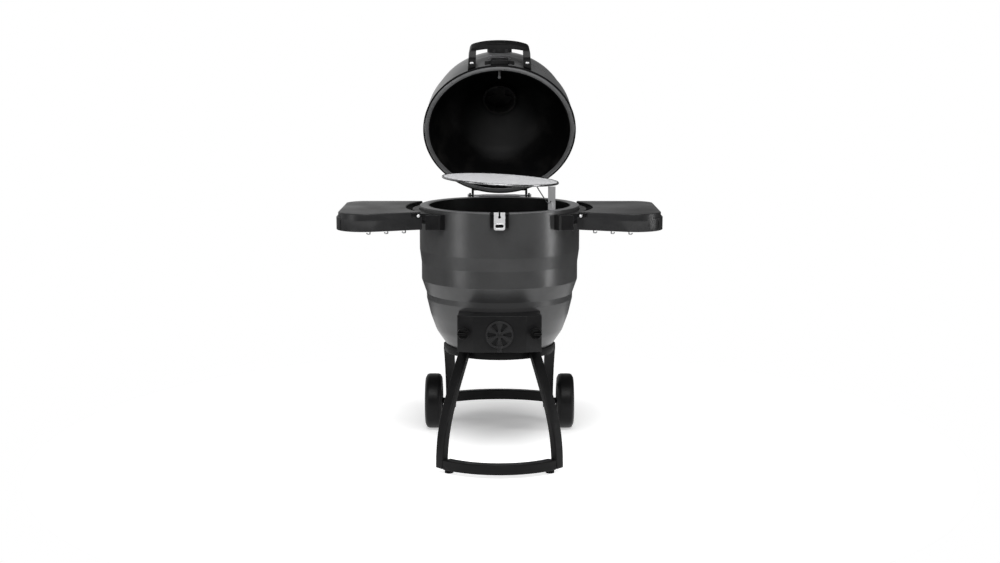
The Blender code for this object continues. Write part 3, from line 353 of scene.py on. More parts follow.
def join(name, members, mat):
    """One object from several meshes, each kept as it is."""
    bm = bmesh.new()
    for member in members:
        copy = member.data.copy()
        copy.transform(member.matrix_world)
        bm.from_mesh(copy)
        bpy.data.meshes.remove(copy)
        bpy.data.objects.remove(member, do_unlink=True)
    mesh = bpy.data.meshes.new(name)
    bm.to_mesh(mesh)
    bm.free()
    if not mesh.materials:
        mesh.materials.append(mat)
    for face in mesh.polygons:
        face.material_index = 0
    obj = bpy.data.objects.new(name, mesh)
    bpy.context.collection.objects.link(obj)
    return obj


def move(obj, matrix):
    """Move the mesh itself, so that the object stays at the origin."""
    obj.data.transform(matrix)
    return obj


def mirrored(obj, name):
    """A left-hand copy of a right-hand piece."""
    mesh = obj.data.copy()
    mesh.transform(Matrix.Scale(-1, 4, (1, 0, 0)))
    mesh.flip_normals()
    copy = bpy.data.objects.new(name, mesh)
    bpy.context.collection.objects.link(copy)
    return copy


def place(obj, body, slot, *nodes):
    """Put a piece drawn in keg coordinates into the frame, on its body."""
    lid_bodies = ("lid", "damper_cap", "needle")
    obj.data.transform(LID_TIP if body in lid_bodies else TO_FRAME)
    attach(obj, body)
    if nodes:
        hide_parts(*nodes)
    return obj


# ---------------------------------------------------------------- material nodes
class Surface:
    """A Principled material with helpers for procedural detail, in object coordinates."""

    def __init__(self, name, colour, metallic, roughness):
        self.mat = bpy.data.materials.new(name)
        self.mat.use_nodes = True
        self.mat.diffuse_color = (*colour, 1.0)
        self.tree = self.mat.node_tree
        self.shader = self.tree.nodes["Principled BSDF"]
        self.shader.inputs["Metallic"].default_value = metallic
        self.shader.inputs["Roughness"].default_value = roughness
        self.shader.inputs["Base Color"].default_value = (*colour, 1.0)
        self.colour = colour
        self.where = self.tree.nodes.new("ShaderNodeTexCoord").outputs["Object"]
        self.height = None

    def link(self, source, target):
        self.tree.links.new(source, target)

    def stretched(self, scale):
        """The coordinates squeezed by a different amount along each axis."""
        node = self.tree.nodes.new("ShaderNodeMapping")
        node.inputs["Scale"].default_value = scale
        self.link(self.where, node.inputs["Vector"])
        return node.outputs["Vector"]

    def noise(self, scale, detail=2.0, where=None, roughness=0.5):
        node = self.tree.nodes.new("ShaderNodeTexNoise")
        node.inputs["Scale"].default_value = scale
        node.inputs["Detail"].default_value = detail
        node.inputs["Roughness"].default_value = roughness
        self.link(where or self.where, node.inputs["Vector"])
        return node.outputs["Fac"]

    def distance(self, point):
        """How far the surface is from a point."""
        node = self.tree.nodes.new("ShaderNodeVectorMath")
        node.operation = "DISTANCE"
        node.inputs[1].default_value = point
        self.link(self.where, node.inputs[0])
        return node.outputs["Value"]

    def cells(self, scale, where=None):
        node = self.tree.nodes.new("ShaderNodeTexVoronoi")
        node.inputs["Scale"].default_value = scale
        self.link(where or self.where, node.inputs["Vector"])
        return node.outputs["Distance"]

    def spread(self, value, low, high, to_low, to_high):
        node = self.tree.nodes.new("ShaderNodeMapRange")
        node.inputs["From Min"].default_value = low
        node.inputs["From Max"].default_value = high
        node.inputs["To Min"].default_value = to_low
        node.inputs["To Max"].default_value = to_high
        self.link(value, node.inputs["Value"])
        return node.outputs["Result"]

    def vary_colour(self, value, other, low=0.35, high=0.65):
        """Blend between the base colour and another one."""
        source = self.shader.inputs["Base Color"]
        node = self.tree.nodes.new("ShaderNodeMix")
        node.data_type = "RGBA"
        node.inputs["A"].default_value = (*self.colour, 1.0)
        if source.links:
            self.link(source.links[0].from_socket, node.inputs["A"])
        node.inputs["B"].default_value = (*other, 1.0)
        self.link(self.spread(value, low, high, 0.0, 1.0), node.inputs["Factor"])
        self.link(node.outputs["Result"], source)

    def vary_roughness(self, value, low, high):
        self.link(self.spread(value, 0.3, 0.7, low, high), self.shader.inputs["Roughness"])

    def bump(self, value, distance, strength=1.0):
        """Stack another layer of relief, distance in metres."""
        node = self.tree.nodes.new("ShaderNodeBump")
        node.inputs["Distance"].default_value = distance
        node.inputs["Strength"].default_value = strength
        self.link(value, node.inputs["Height"])
        if self.height:
            self.link(self.height, node.inputs["Normal"])
        self.height = node.outputs["Normal"]
        self.link(self.height, self.shader.inputs["Normal"])


def metallic_paint(name, colour, roughness, metallic=0.5, shine=0.5):
    """Sprayed paint: metal flake, a faint orange peel and handling marks."""
    s = Surface(name, colour, metallic, roughness)
    s.shader.inputs["Specular IOR Level"].default_value = shine
    lighter = tuple(c * 1.35 for c in colour)
    darker = tuple(c * 0.80 for c in colour)
    s.vary_colour(s.noise(1400, 1.0), lighter, 0.55, 0.75)
    s.vary_colour(s.noise(9, 3.0), darker, 0.45, 0.75)
    s.vary_roughness(s.noise(14, 4.0), roughness - 0.03, roughness + 0.05)
    s.bump(s.noise(260, 2.0), 0.00005, 0.35)
    return s.mat


def enamel(name, colour, shine, painted_reflection=None):
    """Fired porcelain enamel, slightly wavy, with a dusting of ash, and, where a spot is given, a painted
    reflection: lighter colour around that spot.
    """
    s = Surface(name, colour, 0.0, 0.40)
    s.shader.inputs["Specular IOR Level"].default_value = shine
    s.vary_colour(s.noise(900, 2.0), (0.030, 0.030, 0.031), 0.66, 0.80)
    s.vary_colour(s.noise(11, 5.0), (0.010, 0.0095, 0.009), 0.50, 0.80)
    if painted_reflection:
        spot, reach = painted_reflection
        # painted reflection: the colour lightens towards the spot, standing in for a soft highlight on the
        # enamel
        s.vary_colour(s.distance(spot), (0.0450, 0.0450, 0.0455), reach, reach * 0.25)
    s.vary_roughness(s.noise(16, 4.0), 0.38, 0.48)
    s.bump(s.noise(90, 3.0), 0.00012, 0.5)
    return s.mat


def powder_coat(name, colour, roughness=0.48, shine=0.15):
    """Fine-textured powder coat."""
    s = Surface(name, colour, 0.0, roughness)
    s.shader.inputs["Specular IOR Level"].default_value = shine
    s.vary_colour(s.noise(700, 2.0), tuple(c * 1.6 for c in colour), 0.50, 0.75)
    s.vary_colour(s.noise(18, 4.0), tuple(c * 0.75 for c in colour), 0.45, 0.80)
    s.vary_roughness(s.noise(30, 3.0), roughness - 0.05, roughness + 0.07)
    s.bump(s.noise(1100, 2.0), 0.00007, 0.6)
    return s.mat


def moulded_plastic(name, colour, roughness, grain=1300, shine=0.32):
    """Spark-eroded mould grain, a little shinier where hands polish it."""
    s = Surface(name, colour, 0.0, roughness)
    s.shader.inputs["Specular IOR Level"].default_value = shine
    s.vary_colour(s.noise(24, 4.0), tuple(c * 1.22 for c in colour), 0.42, 0.72)
    s.vary_colour(s.noise(grain, 1.0), tuple(c * 0.80 for c in colour), 0.52, 0.72)
    s.vary_roughness(s.noise(8, 4.0), roughness - 0.06, roughness + 0.05)
    s.bump(s.cells(grain * 0.8), 0.00006, 0.5)
    s.bump(s.noise(grain, 1.0), 0.00004, 0.5)
    return s.mat


def rubber(name, colour, roughness=0.62):
    """Moulded rubber, dusty in patches."""
    s = Surface(name, colour, 0.0, roughness)
    s.shader.inputs["Specular IOR Level"].default_value = 0.13
    s.vary_colour(s.noise(40, 5.0), tuple(c * 1.5 for c in colour), 0.50, 0.80)
    s.vary_colour(s.noise(600, 2.0), tuple(c * 0.7 for c in colour), 0.55, 0.75)
    s.vary_roughness(s.noise(20, 4.0), roughness - 0.08, roughness + 0.08)
    s.bump(s.noise(500, 3.0), 0.00010, 0.6)
    return s.mat


def cast_iron(name, colour):
    """Sand-cast iron under matte black enamel."""
    s = Surface(name, colour, 0.25, 0.58)
    s.vary_colour(s.noise(60, 5.0), (0.040, 0.037, 0.034), 0.45, 0.75)
    s.vary_roughness(s.noise(45, 4.0), 0.48, 0.70)
    s.bump(s.noise(320, 4.0), 0.00035, 0.7)
    s.bump(s.cells(240), 0.00020, 0.4)
    return s.mat


def brushed_steel(name, colour, roughness, grain=(60, 60, 1800), metallic=1.0):
    """Stainless with fine lines across the large numbers of grain."""
    s = Surface(name, colour, metallic, roughness)
    lines = s.noise(1.0, 3.0, s.stretched(grain))
    s.vary_colour(lines, tuple(c * 0.78 for c in colour), 0.40, 0.70)
    s.vary_colour(s.noise(35, 3.0), tuple(c * 0.90 for c in colour), 0.45, 0.75)
    s.vary_roughness(lines, roughness - 0.07, roughness + 0.10)
    s.bump(lines, 0.00003, 0.6)
    return s.mat


def bright_wire(name, colour, roughness):
    """Drawn and plated wire."""
    s = Surface(name, colour, 1.0, roughness)
    s.vary_colour(s.noise(70, 3.0), tuple(c * 0.86 for c in colour), 0.45, 0.75)
    s.vary_roughness(s.noise(120, 3.0), roughness - 0.04, roughness + 0.10)
    s.bump(s.noise(500, 2.0), 0.00003, 0.5)
    return s.mat


def printed_card(name, colour):
    """Matt printed metal, as on a gauge face."""
    s = Surface(name, colour, 0.0, 0.55)
    s.vary_colour(s.noise(500, 3.0), tuple(c * 0.93 for c in colour), 0.45, 0.75)
    s.vary_roughness(s.noise(200, 2.0), 0.50, 0.62)
    s.bump(s.noise(900, 2.0), 0.00002, 0.5)
    return s.mat


def clear_lens(name):
    """Clear glass with faint smears."""
    s = Surface(name, (0.96, 0.97, 0.97), 0.0, 0.03)
    s.shader.inputs["Transmission Weight"].default_value = 1.0
    s.shader.inputs["IOR"].default_value = 1.45
    s.vary_roughness(s.noise(30, 4.0), 0.01, 0.07)
    return s.mat


def pale_floor():
    """White paper that glows a little, more so further out, where it runs into the backdrop; the weaker glow
    around a point just behind the keg is a painted shadow.
    """
    s = Surface("studio_floor", (0.82, 0.82, 0.82), 0.0, 0.70)
    s.vary_colour(s.noise(3, 3.0), (0.80, 0.80, 0.80))
    s.shader.inputs["Specular IOR Level"].default_value = 0.1
    s.shader.inputs["Emission Color"].default_value = (1.0, 1.0, 1.0, 1.0)
    # painted shadow: the glow is 0.25 within 0.12 m of a point just behind the keg and rises to 0.75 by 0.50
    # m, darkening the floor under it
    glow = s.spread(s.distance((0.0, 0.36, 0.0)), 0.12, 0.50, 0.25, 0.75)
    s.link(glow, s.shader.inputs["Emission Strength"])
    return s.mat


def make_materials():
    return {
        "keg": metallic_paint("keg_paint", (0.0545, 0.0548, 0.0555), 0.31, 0.25, 0.40),
        # The lid's paint is the keg's paint made about three times lighter: painted light, standing in for
        # the overhead light that the open lid catches.
        "lid": metallic_paint("lid_paint", (0.160, 0.161, 0.163), 0.29, 0.50),
        "rim": metallic_paint("rim_paint", (0.125, 0.126, 0.128), 0.42, 0.30),
        "enamel": enamel("inner_enamel", (0.0040, 0.0040, 0.0042), 0.16),
        # The lid's lining is the bowl's enamel made darker and less shiny, as painted shade, with a painted
        # reflection around a point in its open dome.
        "liner": enamel("lid_enamel", (0.0018, 0.0018, 0.0019), 0.06, ((0.0, 0.386, 1.118), 0.145)),
        "frame": powder_coat("frame_paint", (0.0060, 0.0060, 0.0062), 0.42, 0.09),
        "black": powder_coat("black_paint", (0.0075, 0.0075, 0.0078), 0.42),
        "cast": cast_iron("cast_iron", (0.018, 0.018, 0.018)),
        "shelf": moulded_plastic("shelf_resin", (0.0150, 0.0150, 0.0156), 0.42),
        "plastic": moulded_plastic("black_plastic", (0.0035, 0.0035, 0.0037), 0.40, 1700, 0.24),
        "knob": moulded_plastic("knob_plastic", (0.0012, 0.0012, 0.0012), 0.36, 1700, 0.14),
        "tyre": rubber("tyre_rubber", (0.0055, 0.0055, 0.0057), 0.42),
        "rubber": rubber("gasket_rubber", (0.0040, 0.0040, 0.0042), 0.75),
        "steel": brushed_steel("stainless", (0.62, 0.62, 0.63), 0.30),
        "sheet": brushed_steel("stainless_sheet", (0.80, 0.80, 0.81), 0.34, (1800, 1800, 60), 0.45),
        "draft": powder_coat("draft_paint", (0.0170, 0.0170, 0.0174), 0.42),
        "chrome": bright_wire("rack_chrome", (0.13, 0.13, 0.133), 0.30),
        "post": brushed_steel("post_steel", (0.50, 0.50, 0.505), 0.34, (1800, 1800, 60), 0.55),
        "hook": bright_wire("hook_wire", (0.30, 0.30, 0.305), 0.22),
        "hinge": bright_wire("hinge_steel", (0.20, 0.20, 0.204), 0.45),
        "badge": brushed_steel("badge_metal", (0.34, 0.34, 0.35), 0.36, (1500, 60, 60)),
        "dial": printed_card("dial_card", (0.72, 0.72, 0.70)),
        "ink": printed_card("dial_ink", (0.012, 0.012, 0.013)),
        "needle": powder_coat("needle_red", (0.42, 0.020, 0.014), 0.40),
        "glass": clear_lens("lens_glass"),
    }


# ---------------------------------------------------------------- barrel and its inside
def make_barrel(mats):
    """The two walls of the barrel and the flat rim over them."""
    outer = rounded(BARREL, closed=False, step=4)
    shell = lathe("barrel", sheet_profile(outer, SHEET), mats["keg"])
    place(shell, "base", "keg_paint", "body_shell")
    bowl = lathe("fire_bowl_enamel", sheet_profile(rounded(FIRE_BOWL, closed=False, step=6), SHEET),
                 mats["enamel"])
    place(bowl, "base", "inner_enamel", "fire_bowl")
    top, under = RIM_Z, RIM_Z - 0.003
    rim = [(RIM_OUTER + 0.0006, under, 0.0008), (RIM_OUTER + 0.0006, top, 0.0022),
           (RIM_INNER + 0.0040, top, 0.0030), (RIM_INNER + 0.0030, top - 0.0012, 0.0010),
           (RIM_INNER, top - 0.0012, 0.0012), (RIM_INNER, under - 0.004, 0.0004),
           (RIM_INNER + 0.0010, under, 0.0)]
    place(lathe("barrel_rim", rounded(rim, step=20), mats["rim"]), "base", "rim_paint", "rim_ring")


def grate(name, radius, height, bars, bar_width, mat, notch=None):
    """A cast ring filled with parallel bars that are rounded on top, tied by two cross ribs."""
    low, high = height + 0.0005, height + 0.0088
    profile = rounded([(radius, low, 0.0015), (radius, high, 0.0030), (radius - 0.010, high, 0.0030),
                       (radius - 0.010, low, 0.0015)], step=20)
    members = [lathe("ring", profile, None, 120)]
    section = rounded([(bar_width / 2, 0.0035, 0.0022), (-bar_width / 2, 0.0035, 0.0022),
                       (-bar_width / 2 + 0.001, -0.0035, 0.0008),
                       (bar_width / 2 - 0.001, -0.0035, 0.0008)], step=30)
    pitch = 2 * (radius - 0.012) / (bars + 1)
    middle = height + 0.0048
    for i in range(bars):
        x = -radius + 0.012 + pitch * (i + 1)
        reach = math.sqrt((radius - 0.006) ** 2 - x * x)
        start = -reach
        if notch and abs(x - notch[0]) < notch[2]:
            start = notch[1] + math.sqrt(notch[2] ** 2 - (x - notch[0]) ** 2)
        members.append(sweep("bar", [(x, start, middle), (x, reach, middle)],
                             [(u, -v) for u, v in section], None, (1, 0, 0)))
    for y in (-0.075, 0.075):
        reach = math.sqrt((radius - 0.006) ** 2 - y * y)
        members.append(box("rib", (-reach, y - 0.003, height + 0.0010),
                           (reach, y + 0.003, height + 0.0060), None))
    return join(name, members, mat)


def make_grates(mats):
    coal = grate("charcoal_grate_casting", CHARCOAL_GRATE_R, CHARCOAL_GRATE_Z, 11, 0.010, mats["cast"])
    place(coal, "charcoal_grate", "cast_iron", "charcoal_grate")
    cook = grate("cooking_grate_casting", COOKING_GRATE_R, COOKING_GRATE_Z, 15, 0.008, mats["cast"],
                 (POST_X, POST_Y, 0.030))
    notch = prism("notch", arc(0.0265, (POST_X, POST_Y), 0, 350, 35), None, 0.75, 0.85)
    place(cut(cook, notch), "cooking_grate", "cast_iron", "cooking_grate")


# ---------------------------------------------------------------- cart
def leg_path(foot, top, low, high, count=28):
    (fx, fy), (tx, ty) = foot, top
    way = Vector((tx - fx, ty - fy, 0))
    reach = way.length
    way.normalize()
    base = Vector((fx, fy, 0))
    plan = [(0, low), (0, 0.150), (0.060, 0.215), (reach + 0.006, high)]
    return bezier([base + way * d + Vector((0, 0, z)) for d, z in plan], count)


def ring_cope():
    """The space inside the support ring, which the legs stop at."""
    return lathe("cope", [(RING_OUTER + 0.0004, 0.5), (RING_OUTER + 0.0004, 0.2), (0.0, 0.2),
                          (0.0, 0.5)], None, 96)


def bolt_head(name, at, towards, radius, mat, height=0.0022):
    """A domed screw head with a hexagonal socket, standing on a surface."""
    profile = rounded([(0.0, 0.0), (radius, 0.0, 0.0003), (radius * 0.86, height * 0.75, radius * 0.3),
                       (0.0, height)], closed=False, step=20)
    head = lathe(name, profile, mat, 24)
    socket = prism("socket", arc(radius * 0.45, (0, 0), 0, 300, 5), None, height * 0.45, height * 2)
    cut(head, socket)
    turn = Vector((0, 0, 1)).rotation_difference(Vector(towards)).to_matrix().to_4x4()
    return move(head, Matrix.Translation(Vector(at)) @ turn)


def make_front_frame(mats):
    fx, fy = FRONT_FOOT_AT
    path = leg_path(FRONT_FOOT_AT, FRONT_TOP_AT, LEG_BOTTOM, LEG_HEIGHT)
    sides = []
    for point in path:
        part_way = (point[2] - LEG_BOTTOM) / (LEG_HEIGHT - LEG_BOTTOM)
        turn = math.radians(FOOT_TURN + (TOP_TURN - FOOT_TURN) * part_way)
        sides.append(Vector((math.cos(turn), math.sin(turn), 0)))
    side = sides[0]
    leg = sweep("front_leg_tube_right", path, rounded_section(LEG_WIDE, LEG_DEEP, 0.0035),
                mats["frame"], sides)
    cut(leg, ring_cope())
    place(mirrored(leg, "front_leg_tube_left"), "base", "frame_paint", "front_leg_left")
    place(leg, "base", "frame_paint", "front_leg_right")

    def end_angle(radius):
        angle = 0.0
        while angle < 60:
            x = radius * math.sin(math.radians(angle))
            y = BAR_Y - radius * math.cos(math.radians(angle))
            if (x - fx) * side.x + (y - fy) * side.y > -LEG_WIDE / 2:
                break
            angle += 0.02
        return angle

    outer, inner = BAR_R, BAR_R - BAR_DEEP
    a, b = end_angle(outer), end_angle(inner)
    outline = arc(outer, (0, BAR_Y), -90 - a, -90 + a, 56)
    outline += arc(inner, (0, BAR_Y), -90 + b, -90 - b, 56)
    bar = prism("front_bar_tube", outline, mats["frame"], BAR_BOTTOM, BAR_TOP, bevel=0.0035)
    place(bar, "base", "frame_paint", "front_bar")
    for word, sign in (("left", -1), ("right", 1)):
        profile = rounded([(0.0, BAR_BOTTOM - 0.0003), (0.0135, BAR_BOTTOM - 0.0003, 0.001),
                           (0.0150, 0.0, 0.0015), (0.0, 0.0)], closed=False, step=20)
        foot = lathe("front_pad_" + word, profile, mats["rubber"], 36)
        move(foot, Matrix.Translation((sign * 0.166, -0.3500, 0)))
        place(foot, "base", "gasket_rubber", "front_foot_" + word)


def make_rear_frame(mats):
    plan = [(0.178, AXLE_Y + 0.002, 0.078), (0.178, AXLE_Y + 0.002, 0.165),
            (0.178, 0.205, 0.225), (0.178, 0.052, 0.345)]
    leg = sweep("rear_leg_tube_right", bezier(plan, 28), rounded_section(0.036, 0.030, 0.0040),
                mats["frame"], (1, 0, 0))
    cut(leg, ring_cope())
    place(mirrored(leg, "rear_leg_tube_left"), "base", "frame_paint", "rear_leg_left")
    place(leg, "base", "frame_paint", "rear_leg_right")
    half, low, high = 0.1598, 0.094, 0.130
    front, back, centre = 0.360, 0.386, -0.075
    a = math.degrees(math.asin(half / front))
    b = math.degrees(math.asin(half / back))
    outline = arc(front, (0, centre), 90 + a, 90 - a, 48)
    outline += arc(back, (0, centre), 90 - b, 90 + b, 48)
    bar = prism("rear_bar_tube", outline, mats["frame"], low, high, bevel=0.0035)
    place(bar, "base", "frame_paint", "rear_bar")
    axle = lathe("axle_stub_right", rounded([
        (0.0, 0.0), (0.011, 0.0), (0.011, 0.0122, 0.001), (0.006, 0.0122), (0.006, 0.0740),
        (0.0115, 0.0740), (0.0115, 0.0770, 0.002), (0.0, 0.0770)], step=20), mats["frame"], 40)
    move(axle, Matrix.Translation((0.1965, AXLE_Y, AXLE_Z)) @ Matrix.Rotation(math.pi / 2, 4, "Y"))
    place(mirrored(axle, "axle_stub_left"), "base", "frame_paint", "axle_left")
    place(axle, "base", "frame_paint", "axle_right")
    ring = rounded([(RING_OUTER, RING_TOP, 0.0012), (RING_OUTER - 0.0035, RING_TOP, 0.0012),
                    (RING_OUTER - 0.0035, RING_BOTTOM, 0.0012), (RING_OUTER, RING_BOTTOM, 0.0012)],
                   step=20)
    place(lathe("support_hoop", ring, mats["frame"]), "base", "frame_paint", "support_ring")


def make_wheels(mats):
    """Drawn lying flat with the axle along Z, then stood up on the axle."""
    w, r = WHEEL_W, WHEEL_R
    tread = rounded([(0.0655, 0.0010, 0.001), (0.0700, 0.0000, 0.003), (r - 0.0150, 0.0008, 0.010),
                     (r - 0.0030, 0.0075, 0.007), (r - 0.0002, 0.0150, 0.006), (r, w / 2, 0.3),
                     (r - 0.0002, w - 0.0150, 0.006), (r - 0.0030, w - 0.0075, 0.007),
                     (r - 0.0150, w - 0.0008, 0.010), (0.0700, w, 0.003), (0.0655, w - 0.0010, 0.001)],
                    step=8)
    web = rounded([(0.0065, 0.0045), (0.0180, 0.0045, 0.002), (0.0190, 0.0200, 0.004),
                   (0.0560, 0.0200, 0.004), (0.0600, 0.0030, 0.002), (0.0655, 0.0030, 0.001),
                   (0.0655, w - 0.0030, 0.001), (0.0600, w - 0.0030, 0.002), (0.0560, 0.0400, 0.004),
                   (0.0240, 0.0400, 0.004), (0.0205, w - 0.0020, 0.002), (0.0065, w - 0.0020)], step=15)
    lay = Matrix.Translation((AXLE_X, AXLE_Y, AXLE_Z)) @ Matrix.Rotation(math.pi / 2, 4, "Y")
    tyre = move(lathe("tread_right", tread, mats["tyre"], 120), lay)
    members = [lathe("web", web, None, 72)]
    for i in range(8):
        spoke = box("spoke", (0.0180, -0.0028, 0.0075), (0.0585, 0.0028, w - 0.0090), None, 0.0012)
        members.append(move(spoke, Matrix.Rotation(math.radians(45 * i), 4, "Z")))
    hub = move(join("wheel_centre_right", members, mats["plastic"]), lay)
    hub.data.set_sharp_from_angle(angle=math.radians(32))
    for word, pieces in (("left", [mirrored(tyre, "tread_left"), mirrored(hub, "wheel_centre_left")]),
                         ("right", [tyre, hub])):
        place(pieces[0], "wheel_" + word, "tyre_rubber", "tyre_" + word)
        place(pieces[1], "wheel_" + word, "black_plastic", "hub_" + word)


# ---------------------------------------------------------------- ash box and draft
def petal(radius_in, radius_out, centre_angle, half_angle, low, high):
    outline = arc(radius_out, (0, DRAFT_Z), centre_angle - half_angle, centre_angle + half_angle, 8)
    outline += arc(radius_in, (0, DRAFT_Z), centre_angle + half_angle, centre_angle - half_angle, 4)
    return prism("petal", outline, None, low, high, "Y")


def petals(turned, low, high):
    """Six wedge-shaped holes; the wheel's are half a step on from the drawer's, which shuts them."""
    step = 360 / PETALS
    return [petal(0.011, DRAFT_R - 0.006, 90 + step * (i + turned), 13, low, high)
            for i in range(PETALS)]


def make_ash_box(mats):
    """The sleeve that goes into the barrel, and the drawer with its bent front."""
    wall, half = 0.002, BOX_HALF - 0.002
    low, high = BOX_BOTTOM + 0.0035, BOX_TOP - 0.0035
    sleeve = rounded([(-half, low, 0.004), (half, low, 0.004), (half, high, 0.004), (-half, high, 0.004)],
                     step=15)
    housing = prism("ash_box_sleeve", sleeve, mats["black"], BOX_FRONT + 0.014, 0.020, "Y")
    bore = rounded([(-half + wall, low + wall, 0.003), (half - wall, low + wall, 0.003),
                    (half - wall, high - wall, 0.003), (-half + wall, high - wall, 0.003)], step=15)
    fall = prism("fall", arc(0.052, (0, 0), 0, 350, 47), None, high - 0.01, high + 0.01)
    cut(housing, prism("bore", bore, None, -0.5, 0.5, "Y"), fall)
    flat, behind = BOX_HALF - BOX_WING, BOX_FRONT + PANEL + 0.0005
    reach = flat + 0.062
    for s in (-1, 1):
        corner = [(s * flat, -0.5), (s * reach, -0.5),
                  (s * reach, behind + WING_BACK * (reach - flat) / BOX_WING), (s * flat, behind)]
        cut(housing, prism("trim", corner, None, 0.3, 0.6))
    place(housing, "base", "black_paint", "ash_housing")

    swept, back = BOX_FRONT + WING_BACK, BOX_FRONT + PANEL
    outline = rounded([(-flat, BOX_FRONT, 0.020), (flat, BOX_FRONT, 0.020), (BOX_HALF, swept),
                       (BOX_HALF, swept + PANEL), (flat, back), (-flat, back),
                       (-BOX_HALF, swept + PANEL), (-BOX_HALF, swept)], step=2)
    front = prism("ash_drawer_front", outline, None, BOX_BOTTOM, BOX_TOP)
    bevelled(front, 0.0016, 3, 25)
    screws = [rod("screw", (s * KNOB_X, -0.5, KNOB_Z), (s * KNOB_X, BOX_FRONT + 0.04, KNOB_Z), 0.0038,
                  None) for s in (-1, 1)]
    cut(front, *petals(0, -0.5, BOX_FRONT + 0.02), *screws)
    tray = box("tray", (-0.131, BOX_FRONT + 0.0115, 0.4105), (0.131, 0.012, 0.4450), None, 0.003)
    well = box("well", (-0.129, BOX_FRONT + 0.0145, 0.4125), (0.129, 0.010, 0.4600), None, 0.002)
    cut(tray, well)
    drawer = join("ash_drawer_pan", [front, tray], mats["black"])
    place(drawer, "drawer", "black_paint", "ash_drawer")


def make_draft_wheel(mats):
    """A dished disc: a raised rim, six raised blades and a finger tab at the bottom."""
    front, back = BOX_FRONT - 0.0055, BOX_FRONT - 0.0005
    profile = rounded([(0.0, 0.0), (DRAFT_R, 0.0), (DRAFT_R, 0.0050, 0.0016),
                       (DRAFT_R - 0.0045, 0.0050, 0.0016), (DRAFT_R - 0.0065, 0.0030, 0.001),
                       (0.0125, 0.0030, 0.001), (0.0105, 0.0050, 0.0012), (0.0, 0.0050)],
                      closed=False, step=20)
    stand = (Matrix.Translation((0, back, DRAFT_Z)) @ Matrix.Rotation(math.pi / 2, 4, "X"))
    wheel = move(lathe("draft_disc", profile, None, 96), stand)
    cut(wheel, *petals(0.5, -0.5, 0.0))
    members = [wheel]
    for i in range(PETALS):
        blade = [(0.0085, -0.0018), (DRAFT_R - 0.0045, -0.0068), (DRAFT_R - 0.0045, 0.0068),
                 (0.0085, 0.0018)]
        raised = prism("blade", blade, None, 0.0022, 0.0048, bevel=0.0009)
        turn = Matrix.Rotation(math.radians(90 + 360 / PETALS * i), 4, "Z")
        members.append(move(raised, stand @ turn))
    rim = DRAFT_Z - DRAFT_R
    outline = rounded([(-0.0070, rim + 0.008), (-0.0080, rim - 0.010, 0.003),
                       (0.0080, rim - 0.010, 0.003), (0.0070, rim + 0.008)])
    tab = prism("tab", outline, None, front - 0.0055, back - 0.001, "Y", bevel=0.0011)
    grip_ribs = [box("rib", (-0.0050, front - 0.0062, rim - 0.0075 + 0.0040 * k),
                     (0.0050, front - 0.0050, rim - 0.0060 + 0.0040 * k), None, 0.0003)
                 for k in range(3)]
    wheel = join("draft_control", members + [tab] + grip_ribs, mats["draft"])
    place(wheel, "draft_wheel", "black_paint", "draft_wheel")
    rivet = lathe("draft_rivet_head", rounded([
        (0.0, 0.0), (0.0040, 0.0003, 0.003), (0.0068, 0.0020, 0.001), (0.0070, 0.0030), (0.0030, 0.0030),
        (0.0030, 0.0225), (0.0065, 0.0225), (0.0065, 0.0245, 0.001), (0.0, 0.0245)], step=15),
        mats["black"], 40)
    move(rivet, Matrix.Translation((0, front - 0.0034, DRAFT_Z)) @ Matrix.Rotation(-math.pi / 2, 4, "X"))
    place(rivet, "drawer", "black_paint", "draft_rivet")


def make_drawer_knobs(mats):
    """Round turn knobs, each with a raised thumb bar that points outwards."""
    front = BOX_FRONT - 0.0006
    outline = rounded([(0.0, 0.0), (0.0030, 0.0), (0.0030, 0.0065), (0.0140, 0.0065), (0.0140, 0.0175, 0.001),
                       (KNOB_R, 0.0190, 0.001), (KNOB_R, 0.0270, 0.003), (KNOB_R - 0.0035, 0.0275, 0.001),
                       (KNOB_R - 0.0050, 0.0255, 0.001), (0.0, 0.0250)], step=20)
    for word, sign in (("left", -1), ("right", 1)):
        knob = lathe("knob_dial_" + word, outline, None, 72)
        bar = prism("bar", rounded([(-0.0060, -0.0042, 0.0040), (0.0195, -0.0042, 0.002),
                                    (0.0195, 0.0042, 0.002), (-0.0060, 0.0042, 0.0040)]), None,
                    0.0245, 0.0320, bevel=0.0015)
        if sign < 0:
            move(bar, Matrix.Rotation(math.pi, 4, "Z"))
        knob = join("drawer_turn_knob_" + word, [knob, bar], mats["knob"])
        move(knob, Matrix.Translation((sign * KNOB_X, front + 0.013, KNOB_Z))
             @ Matrix.Rotation(math.pi / 2, 4, "X"))
        place(knob, "knob_" + word, "black_plastic", "drawer_knob_" + word)


# ---------------------------------------------------------------- latch
def drum(radius):
    """A solid of this radius, to fit pieces to the side of the barrel."""
    return lathe("drum", [(radius, 0.9), (0.0, 0.9), (0.0, 0.7), (radius, 0.7)], None, 144)


